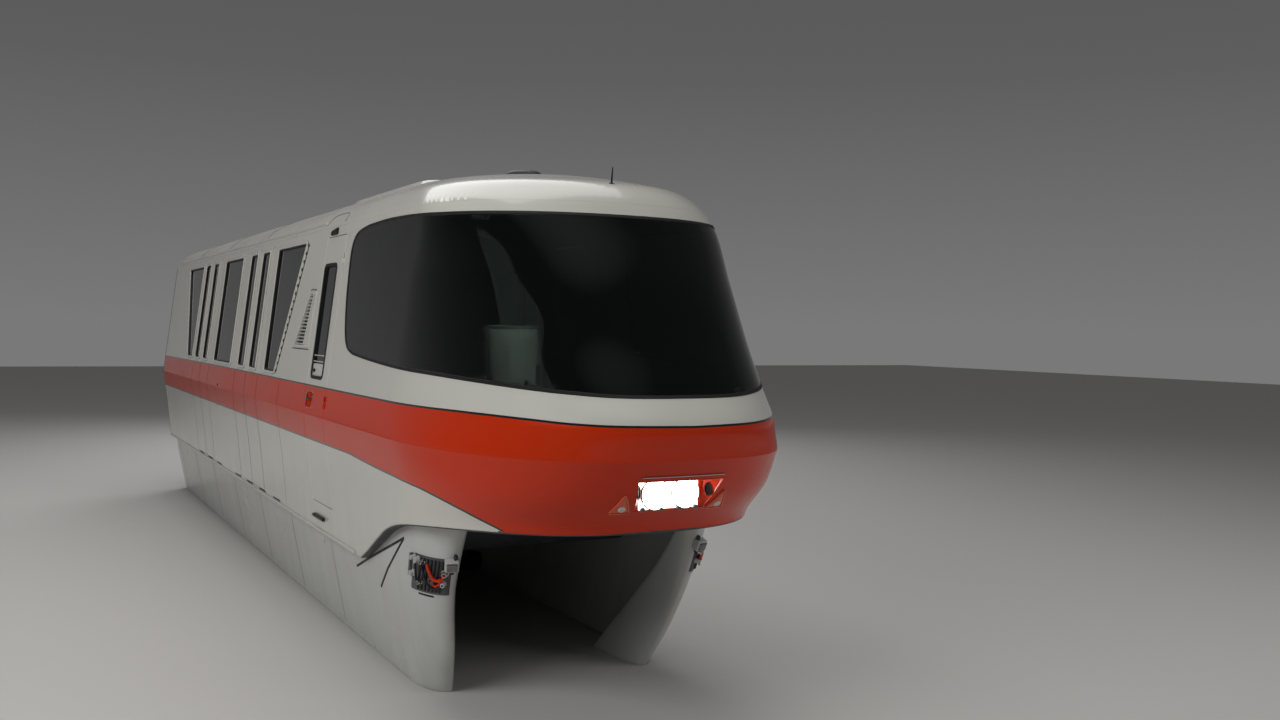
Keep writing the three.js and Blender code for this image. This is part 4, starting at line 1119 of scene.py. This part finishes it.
# Fittings on both sides
HINGE_B, HINGE_Y, HINGE_Z, HINGE_LEAN = 3.453, 1.307, 0.913, 0.1259
SLAT = [(-0.010, -0.022), (-0.004, -0.002), (0.004, 0.001), (0.010, -0.022)]
for side_name, side in SIDES:
    flank = [1, side, 1]
    door_body = "cab_door_" + side_name

    # Louvre behind the cab door
    loop = bt(rounded(LOUVRE, 0.015))
    parts = [plate(loop, shifted(side_skin, -0.026), (BLACK,), side=side, depth=0.004, bevel=0),
             moulding(loop, side_skin, bead(0.022, -0.028, 0.006), WHITE, side)]
    (low_front, low_z), (low_rear, _), (high_rear, high_z), (high_front, _) = LOUVRE
    for z in np.linspace(low_z + 0.022, high_z - 0.020, 15):
        share = (z - low_z) / (high_z - low_z)
        front = low_front + (high_front - low_front) * share
        rear = low_rear + (high_rear - low_rear) * share
        parts.append(side_bar([(front + (rear - front) * 0.36, z), (rear - 0.014, z)], SLAT, PALE, side))
    low_z, high_z = low_z + 0.008, high_z - 0.008
    blank = rounded([(low_front + 0.010, low_z), (low_front + 0.195, low_z), (high_front + 0.078, high_z),
                     (high_front + 0.010, high_z)], 0.01)
    parts.append(plate(bt(blank), shifted(side_skin, -0.004), (WHITE,), side=side, depth=0.016, bevel=0.002))
    rib = [(low_front + 0.205, low_z), (high_front + 0.085, high_z)]
    parts.append(side_bar(rib, bead(0.012, -0.02, 0.005), WHITE, side))
    for line, width, mat in (([(4.27, 1.462), (4.90, 1.462)], 0.008, BLACK),
                             ([(4.885, 1.475), (4.475, 1.985)], 0.012, WHITE),
                             ([(4.235, 1.990), (4.40, 1.998), (4.46, 1.985)], 0.016, CHROME)):
        parts.append(side_bar(line, bead(width, -0.003, 0.003, 0.001), mat, side))
    put(f"louvre_{side_name}", parts)

    # Ledges over and under the windows, and clips along the leaning ends
    parts = []
    low_z, high_z = WINDOW_Z
    for row in [*WINDOWS.values(), *[(a, b, a, b) for _, _, a, b in LEAVES.values()]]:
        for z, front, rear in ((low_z - 0.040, *row[:2]), (high_z + 0.036, *row[2:])):
            line = [(front - 0.03, z), (rear + 0.03, z)]
            parts.append(side_bar(line, bead(0.016, -0.006, 0.011, 0.004), WHITE, side))
    put(f"window_ledges_{side_name}", parts)
    parts = []
    for low_b, high_b, out in ((5.560, 4.840, -0.062), (11.330, 12.150, 0.062)):
        low, high = np.array([(low_b + out, low_z), (high_b + out, high_z)])
        parts.append(side_bar([low, high], bead(0.056, -0.004, 0.003), BLACK, side))
        for share in np.linspace(0.04, 0.96, 16):
            line = [low + (high - low) * (share + k) for k in (-0.016, 0.016)]
            parts.append(side_bar(line, bead(0.034, -0.002, 0.012, 0.004), WHITE, side))
    put(f"window_clips_{side_name}", parts)

    # Sill rail, threshold slots and step
    rail = [(2.80, SILL_Z + 0.014), (13.60, SILL_Z + 0.014)]
    put(f"sill_rail_{side_name}", side_bar(rail, bead(0.028, -0.020, 0.014, 0.006), WHITE, side, 0.2))
    parts = [side_bar([(b - 0.16, -0.068), (b + 0.16, -0.068)], bead(0.016, -0.004, 0.004), BLACK, side)
             for b in (5.72, 6.42, 7.12, 7.82, 9.10, 9.78, 10.46)]
    parts.append(side_bar([(3.74, 0.02), (4.08, 0.02)], bead(0.030, -0.01, 0.030, 0.008), DARK, side))
    put(f"sill_slots_{side_name}", parts)

    # Panel seams, gutter, lock, plain plate and lamp over the cab door
    seam = [(5.27, SILL_Z + 0.03), (5.27, 1.18)]
    parts = [side_bar(seam, bead(0.004, -0.003, 0.0007, 0.0003), BLACK, side)]
    for b in (6.32, 6.97, 7.62, 9.45, 10.10, 10.75):
        for low, high in ((LEAF_Z[0], 1.165), (2.480, 2.490)):
            parts.append(side_bar([(b, low), (b, high)], bead(0.009, -0.004, 0.0006, 0.0002), BLACK, side))
    gutter = smoothed([(3.62, 2.56), (3.66, 2.628), (3.75, 2.65), (4.1, 2.652), (4.2, 2.63), (4.24, 2.56)])
    parts.append(side_bar(gutter, bead(0.005, -0.004, 0.002, 0.001), DARK, side))
    parts.append(turned([(0, 0.006), (0.010, 0.006), (0.013, 0.003), (0.013, -0.006), (0, -0.006)], BLACK,
                        spot(side_skin, 8.64, t_of(0.933), side)[0], (0, side, 0), 20))
    small = bt(rounded(rectangle(8.86, 8.90, 1.175, 1.205), 0.006))
    parts.append(plate(small, shifted(side_skin, 0.004), (PALE,), side=side, depth=0.006, bevel=0.001))
    lens = bt(rounded([(3.75, 2.456), (3.98, 2.456), (3.96, 2.500), (3.76, 2.520)], 0.015))
    parts.append(plate(lens, swollen(side_skin, lens, 0.016, 0.02), (BLACK,), side=side, depth=0.01,
                       bevel=0, step=(0.012, 0.010), edge=0.012))
    put(f"side_fittings_{side_name}", parts)

    # Cab door: handle in its bowl, sash panel and knob
    loop = bt(rounded(HANDLE, 0.03))
    grip_b = np.linspace(3.91, 4.07, 12)
    put(f"cab_door_handle_{side_name}", [
        plate(loop, swollen(side_skin, loop, -0.030, 0.03), (RED,), side=side, depth=0.004, bevel=0,
              step=(0.014, 0.012), edge=0.014),
        tube(shifted(side_skin, -0.006)(grip_b, t_of(np.full(12, 1.040))) * flank, 0.012, DARK),
        moulding(loop, side_skin, bead(0.008, -0.004, 0.004, 0.002), CHROME, side, 0.02),
    ], body=door_body)
    loop = bt(rounded(rectangle(3.655, 4.025, 1.245, 1.350), 0.01))
    parts = [plate(loop, shifted(side_skin, -0.005), (WHITE,), side=side, depth=0.012, bevel=0.002)]
    for z in (1.368, 1.420):
        parts.append(side_bar([(3.655, z), (4.025, z)], bead(0.010, -0.014, -0.001, 0.003), PALE, side))
    parts.append(turned([(0, 0.010), (0.012, 0.009), (0.016, 0.004), (0.016, -0.010), (0, -0.010)], BLACK,
                        spot(side_skin, 3.95, t_of(1.290), side)[0], (0, side, 0), 24))
    put(f"cab_window_sash_{side_name}", parts, body=door_body)

    # Cab door hinges, half on the door and half on the pillar
    axis = Vector((0, -side * HINGE_LEAN, 1)).normalized()
    turn = Vector((0, 0, 1)).rotation_difference(axis).to_matrix().to_4x4()
    low_y, high_y = sorted((0.0, -side * 0.012))
    for height, mat in ((1.040, RED), (2.240, WHITE)):
        for tag, body, start, length, low_x, high_x in (("door", door_body, 0.004, 0.046, -0.030, -0.002),
                                                        ("pillar", "car_body", -0.050, 0.050, 0.002, 0.030)):
            z = height + start
            foot = np.array([DATUM_X - HINGE_B, side * (HINGE_Y - (z - HINGE_Z) * HINGE_LEAN), z])
            barrel = turned([(0, 0), (0.005, 0), (0.006, 0.002), (0.006, length - 0.002), (0.005, length),
                             (0, length)], mat, foot, axis, 20)
            leaf = block((low_x, low_y, 0.002), (high_x, high_y, length - 0.002), mat, 0.002,
                         Matrix.Translation(foot) @ turn)
            put(f"cab_hinge_{tag}_{int(height * 1000)}_{side_name}", [barrel, leaf], body=body)

    # Seams, joints and hem of the skirt
    parts = [bar(line, leg_side, bead(0.020, -0.004, 0.004, 0.002), BLACK, side)
             for line in ([(1.767, 0.178), (2.273, -0.186), (2.44, -0.305)],
                          [(1.767, 0.178), (2.952, -0.218), (3.10, -0.267)])]
    for b in np.arange(3.9, 13.4, 1.55):
        parts.append(bar([(b, -0.93), (b, -0.13)], leg_side, bead(0.006, -0.004, 0.001, 0.0005), BLACK, side))
    hem = [(3.0, -0.918), (13.50, -0.918)]
    parts.append(bar(hem, leg_side, bead(0.026, -0.012, 0.006, 0.004), PALE, side, 0.2))
    put(f"skirt_seams_{side_name}", parts)

    # Coupling box on the leg: back plate, ribs, bars, plugs, coupler and leads
    loop = rounded(rectangle(1.12, 1.96, -0.150, 0.118), 0.02)
    parts = [plate(loop, shifted(leg_point, 0.003), (BOGIE,), side=side, depth=0.02, bevel=0.002,
                   step=(0.08, 0.03))]
    for place in np.linspace(1.30, 1.74, 7):
        rib = [(place, -0.13), (place, 0.10)]
        parts.append(bar(rib, leg_point, bead(0.014, -0.002, 0.016, 0.004), DARK, side))
    for line, width, height, mat in (([(1.09, -0.05), (1.07, 0.11)], 0.018, 0.028, STEEL),
                                     ([(1.30, -0.170), (1.62, -0.170)], 0.018, 0.003, BLACK),
                                     ([(1.96, 0.02), (2.0, 0.15)], 0.020, 0.030, DARK)):
        parts.append(bar(line, leg_point, bead(width, -0.004, height, 0.004), mat, side))
    for place, z, radius, mat in ((1.14, 0.088, 0.017, PALE), (1.24, 0.080, 0.021, PALE),
                                  (1.36, 0.076, 0.016, CHROME), (1.16, -0.027, 0.020, PALE),
                                  (1.82, 0.018, 0.021, CHROME), (1.36, -0.072, 0.016, CHROME),
                                  (1.81, -0.060, 0.017, PALE), (1.60, -0.040, 0.028, BOGIE)):
        plug = [(0, -0.01), (radius * 1.25, -0.01), (radius * 1.25, 0.012), (radius, 0.014), (radius, 0.036),
                (radius * 0.85, 0.041), (radius * 0.6, 0.041), (radius * 0.5, 0.030), (0, 0.028)]
        parts.append(turned(plug, mat, *spot(leg_point, place, z, side), 24))
    at, out = spot(leg_point, 1.93, 0.085, side)
    out = Vector(out)
    sideways = Vector((0, 0, 1)).cross(out).normalized()
    turn = Matrix.Translation(at) @ Matrix((sideways, out.cross(sideways), out)).transposed().to_4x4()
    parts.append(block((-0.048, -0.042, -0.01), (0.048, 0.042, 0.052), PALE, 0.010, turn))
    parts.append(block((-0.036, -0.030, 0.050), (0.036, 0.030, 0.062), STEEL, 0.006, turn))
    sweep = np.linspace(0, 1, 14)
    for p0, z0, p1, z1, sag, radius, mat in ((1.48, 0.075, 1.78, -0.02, 0.05, 0.012, RED),
                                             (1.24, 0.07, 1.36, -0.08, 0.04, 0.008, BLACK),
                                             (1.36, 0.07, 1.81, -0.06, 0.09, 0.008, BLACK),
                                             (1.60, -0.04, 1.82, 0.018, 0.06, 0.009, RED)):
        z = z0 + (z1 - z0) * sweep - sag * np.sin(sweep * math.pi)
        parts.append(tube(shifted(leg_point, 0.030)(p0 + (p1 - p0) * sweep, z) * flank, radius, mat))
    put(f"coupling_box_{side_name}", parts)

# Folded band at the rear end
arc_t = np.concatenate([np.linspace(t_of(SILL_Z), t_of(2.4), 40), np.linspace(t_of(2.4) + 0.02, TOP, 34)])
arc = level(arc_t)[:, 1::-1]
arc = np.concatenate([arc, (arc * [-1, 1])[-2::-1]])
centre = np.array([0, 1.35])
rows = []
for share in np.linspace(0, 1, 25):
    ring = centre + (arc - centre) * (0.978 + 0.012 * math.cos(share * 6 * math.pi))
    low = np.maximum(ring[:, 1], SILL_Z + 0.03)
    rows.append(np.stack([np.full(len(ring), REAR_X - 0.002 - 0.146 * share), ring[:, 0], low], 1))
put("bellows_folds", thick(sheet(rows, BELLOWS, flip=True), 0.03), ["gangway_bellows"])

# Cushions: one pad, blown up by a cloth simulation, then sewn into every seat
PAD = (0.48, 0.48, 0.09)
VOXEL = 0.014
SWELL_LIMIT = 0.014
FRAMES = 20


def blown_pad():
    """The vertices and faces of a crowned pad about its own centre."""
    x, y, z = (side_length / 2 - 0.004 for side_length in PAD)
    pad = block((-x, -y, -z + 0.008), (x, y, z - 0.008), SEATING, 0.022)
    remesh = pad.modifiers.new("remesh", "REMESH")
    remesh.mode = "VOXEL"
    remesh.voxel_size = VOXEL
    applied(pad)
    rest = np.array([v.co for v in pad.data.vertices])
    blown = rest
    cloth = pad.modifiers.new("cloth", "CLOTH")
    cloth.settings.use_pressure = True
    cloth.settings.uniform_pressure_force = 4
    cloth.settings.effector_weights.gravity = 0
    scene = bpy.context.scene
    for number in range(1, FRAMES + 1):
        scene.frame_set(number)
    solved = pad.evaluated_get(bpy.context.evaluated_depsgraph_get()).data
    blown = np.array([v.co for v in solved.vertices])
    pad.modifiers.clear()
    scene.frame_set(1)
    move = blown - rest
    size = np.linalg.norm(move, axis=1)[:, None]
    made = rest + move * np.minimum(1, SWELL_LIMIT / np.maximum(size, 1e-9))
    crown = np.clip(1 - (made[:, 0] / x) ** 2, 0, 1) * np.clip(1 - (made[:, 1] / y) ** 2, 0, 1)
    made[:, 2] += np.where(made[:, 2] > 0, 0.010 * crown, 0)
    for groove_y in (-PAD[1] / 6, PAD[1] / 6):
        groove = np.exp(-(((made[:, 1] - groove_y) / 0.010) ** 2))
        made[:, 2] -= np.where(made[:, 2] > 0.01, 0.010 * groove, 0)
    waist = np.exp(-((made[:, 2] / 0.006) ** 2)) * 0.004
    made[:, :2] *= 1 - waist[:, None] / x
    faces = [tuple(p.vertices) for p in pad.data.polygons]
    bpy.data.objects.remove(pad)
    return made, faces


PAD_POINTS, PAD_FACES = blown_pad()


def pads(name, places, mat, node):
    """Copies of the pad with welts. Each place: its centre, its size and the way that its top faces."""
    parts = []
    for centre, size, top in places:
        turn = np.array(Vector((0, 0, 1)).rotation_difference(Vector(top)).to_matrix())
        points = (PAD_POINTS * (np.array(size) / np.array(PAD))) @ turn.T + np.array(centre)
        parts.append(new_mesh(points, PAD_FACES, mat))
        x, y = size[0] / 2 - 0.006, size[1] / 2 - 0.006
        ring = rounded(rectangle(-x, x, -y, y), 0.03, 5)
        ring = spaced(np.concatenate([ring, ring[:1]]), 0.06, closed=False)
        for share in (-0.22, 0.22):
            welt = np.concatenate([ring, np.full((len(ring), 1), size[2] * share)], 1)
            parts.append(tube(welt @ turn.T + np.array(centre), 0.004, mat, 6))
    made = put(name, parts, [node])


BOGIES = (("front", 5.08, -1), ("rear", 12.50, 1))
for bench, b, way in BOGIES:
    x = DATUM_X - b
    places = []
    for y in (-0.51, 0.51):
        places += [((x + dx * way, y, 0.645), (0.49, 0.49, 0.088), (0, 0, 1)) for dx in (-0.31, 0.19)]
        places.append(((x - way * 0.50, y, 0.935), (0.48, 0.49, 0.118), (way, 0, 0)))
    places.append(((x - way * 0.50, 0, 1.055), (0.245, 0.51, 0.118), (way, 0, 0)))
    pads(f"{bench}_bench_pads", places, SEATING, f"{bench}_bench_cushion")

x = DATUM_X - 8.54
seat_ys = [-0.72 + 0.48 * i for i in range(4)]
places = []
for k in BOTH:
    for y in seat_ys:
        places.append(((x + k * 0.345, y, 0.605), (0.46, 0.475, 0.088), (0, 0, 1)))
        places.append(((x + k * 0.072, y, 0.905), (0.50, 0.475, 0.076), (k, 0, 0)))
places += [((x, y, 1.212), (0.215, 0.475, 0.058), (0, 0, 1)) for y in seat_ys]
pads("middle_bench_pads", places, SEATING, "middle_bench_cushion")

x = DATUM_X - 2.25
lean = Vector((0.72, 0, 0.13)).normalized()
places = [((x, 0, 0.950), (0.47, 0.49, 0.118), (0, 0, 1)), ((x - 0.250, 0, 1.355), (0.70, 0.47, 0.118), lean)]
pads("driver_seat_pads", places, CAB_SEATING, "driver_seat")
post = [(0, 0.522), (0.19, 0.522), (0.19, 0.540), (0.10, 0.556), (0.07, 0.60), (0.065, 0.72), (0.088, 0.73),
        (0.088, 0.80), (0.060, 0.81), (0.055, 0.87), (0.14, 0.885), (0.14, 0.892), (0, 0.892)]
stand = [turned(post, DARK, (x, 0, 0), segments=40)]
for y in (-0.27, 0.27):
    arm = smoothed([(x - 0.20, y, 1.00), (x - 0.20, y, 1.13), (x - 0.16, y, 1.17), (x + 0.14, y, 1.17)])
    stand.append(tube(arm, 0.014, DARK))
put("driver_seat_stand", stand)


# Wheels. Columns of the profiles: radius, distance along the axle
def mirrored(rows):
    return rows + [(r, -h) for r, h in rows[::-1]]


LOAD_TYRE = mirrored([
    (0.205, -0.125), (0.230, -0.146), (0.300, -0.151), (0.360, -0.147), (0.395, -0.137), (0.412, -0.121),
    (0.418, -0.100), (0.420, -0.094), (0.409, -0.092), (0.409, -0.080), (0.420, -0.078), (0.420, -0.044),
    (0.409, -0.042), (0.409, -0.030), (0.420, -0.028),
])
LOAD_RIM = mirrored([
    (0, -0.340), (0.044, -0.340), (0.049, -0.334), (0.049, -0.240), (0.085, -0.238), (0.085, -0.095),
    (0.100, -0.060), (0.165, -0.060), (0.185, -0.100), (0.190, -0.132), (0.203, -0.134), (0.208, -0.124),
    (0.200, -0.110),
])
GUIDE_TYRE = mirrored([
    (0.112, -0.060), (0.130, -0.069), (0.170, -0.069), (0.190, -0.061), (0.199, -0.045), (0.200, -0.026),
    (0.194, -0.024), (0.194, -0.012), (0.200, -0.010),
])
GUIDE_RIM = [
    (0.037, -0.078), (0.078, -0.078), (0.082, -0.050), (0.104, -0.046), (0.110, -0.062), (0.115, -0.060),
    (0.115, 0.060), (0.110, 0.062), (0.104, 0.046), (0.082, 0.050), (0.078, 0.066), (0.037, 0.066),
    (0.037, -0.078),
]
BOLT = [(0, -0.004), (0.011, -0.004), (0.011, 0.010), (0.006, 0.011), (0.006, 0.017), (0, 0.017)]


def wheel(node, at, axis, tyre, rim, circle, bolts, face, segments, notch=None):
    """A wheel with bolts on a circle at the same distance to either side of its middle."""
    spin = np.array(Vector(axis).to_track_quat("Z", "Y").to_matrix())
    parts = [turned(tyre, TYRE, at, axis, segments, notch), turned(rim, STEEL, at, axis, 48)]
    for k in range(bolts):
        angle = 2 * math.pi * k / bolts
        for way in (1, -1):
            local = np.array([circle * math.cos(angle), circle * math.sin(angle), face * way])
            parts.append(turned(BOLT, BOGIE, spin @ local + np.array(at), Vector(axis) * way, 6))
    put(f"{node}_detail", parts, [node], node)


for bogie, b, _ in BOGIES:
    x = DATUM_X - b
    wheel(f"{bogie}_load_wheel", (x, 0, 0.42), (0, 1, 0), LOAD_TYRE, LOAD_RIM, 0.132, 10, 0.060, 120,
          (5, 0.008, 0.4195))
    for side_name, side in SIDES:
        for place, dx, z in (("guide_wheel_fore", 0.55, -0.15), ("guide_wheel_aft", -0.55, -0.15),
                             ("lower_wheel", 0, -0.70)):
            wheel(f"{bogie}_{place}_{side_name}", (x + dx, side * 0.531, z), (0, 0, 1), GUIDE_TYRE, GUIDE_RIM,
                  0.094, 6, 0.047, 64)


# Fittings of the rear wall
def rear_plane(y, z):
    return np.stack([np.full(np.shape(y), REAR_X), y, z], -1)


put("rear_wall_ribs", [bar([(-0.98, z), (0.98, z)], rear_plane, bead(0.09, -0.004, 0.018, 0.012), PALE)
                       for z in (0.62, 1.00, 1.38, 1.76, 2.14)])
SOCKET_Z = 0.30
socket = [(0, 0), (0.075, 0), (0.075, 0.012), (0.060, 0.016), (0.058, 0.075), (0.066, 0.080), (0.066, 0.092),
          (0.046, 0.094), (0.046, 0.060), (0, 0.058)]
parts = []
for y in (-0.42, 0.42):
    parts.append(turned(socket, STEEL, (REAR_X, y, SOCKET_Z), (-1, 0, 0), 32))
    for k in range(4):
        turn = math.pi / 4 + k * math.pi / 2
        at = (REAR_X, y + 0.067 * math.cos(turn), SOCKET_Z + 0.067 * math.sin(turn))
        parts.append(turned([(0, 0), (0.008, 0), (0.008, 0.020), (0, 0.020)], CHROME, at, (-1, 0, 0), 6))
put("rear_sockets", parts)

# Solids that stay
for side_name, _ in SIDES:
    dress(SIDE_GLASS, f"cab_door_glass_{side_name}", *[f"{window}_window_{side_name}" for window in WINDOWS])
dress(CAB_LINING, "cab_bulkhead")
dress(PALE, "rear_wall")
dress(FLOORING, "floor_pan")
dress(DARK, "driver_desk")
dress(STEEL, "rear_drawbar")
dress(BOGIE, "front_bogie_frame", "rear_bogie_frame")

# Stage
FLOOR_Z, FLOOR_HALF = -0.952, 60
floor_mesh = bpy.data.meshes.new("floor")
corners = [(x, y, FLOOR_Z) for x, y in rectangle(-FLOOR_HALF, FLOOR_HALF, -FLOOR_HALF, FLOOR_HALF)]
floor_mesh.from_pydata(corners, [], [(0, 1, 2, 3)])
floor = bpy.data.objects.new("floor", floor_mesh)
bpy.context.scene.collection.objects.link(floor)
floor_mesh.materials.append(material("floor_material", (0.62, 0.61, 0.59), 0.6))

world = bpy.data.worlds.new("studio")
bpy.context.scene.world = world
world.use_nodes = True
sky = world.node_tree
background = sky.nodes["Background"]
direction = sky.nodes.new("ShaderNodeTexCoord")
split = sky.nodes.new("ShaderNodeSeparateXYZ")
sky.links.new(direction.outputs["Generated"], split.inputs["Vector"])
shade = ramp(sky, split.outputs["Z"], (0.0, 0.24), (0.2, 0.14), (0.5, 0.08), (0.85, 0.08), (1.0, 0.5))
sky.links.new(shade, background.inputs["Color"])
background.inputs["Strength"].default_value = 0.8


def area_light(name, at, towards, width, height, power, glossy=False, spread=180):
    data = bpy.data.lights.new(name, "AREA")
    data.shape = "RECTANGLE"
    data.size, data.size_y = width, height
    data.energy = power
    data.spread = math.radians(spread)
    light = bpy.data.objects.new(name, data)
    light.location = at
    light.rotation_euler = (Vector(towards) - Vector(at)).to_track_quat("-Z", "Y").to_euler()
    light.visible_glossy = glossy
    bpy.context.scene.collection.objects.link(light)


area_light("key", (9, -11, 8), (3, 0, 1), 9, 6, 800)
area_light("fill", (14, 9, 6), (4, 0, 1), 7, 5, 260)
area_light("over", (-2, 0, 10), (-2, 0, 0), 18, 8, 650, True)
area_light("rear", (-15, 6, 7), (-5, 0, 1), 8, 6, 500)
area_light("cab", (4.75, 0, 2.55), (4.30, 0, 1.2), 0.4, 0.4, 4, spread=60)
bpy.context.scene.view_settings.view_transform = "Standard"
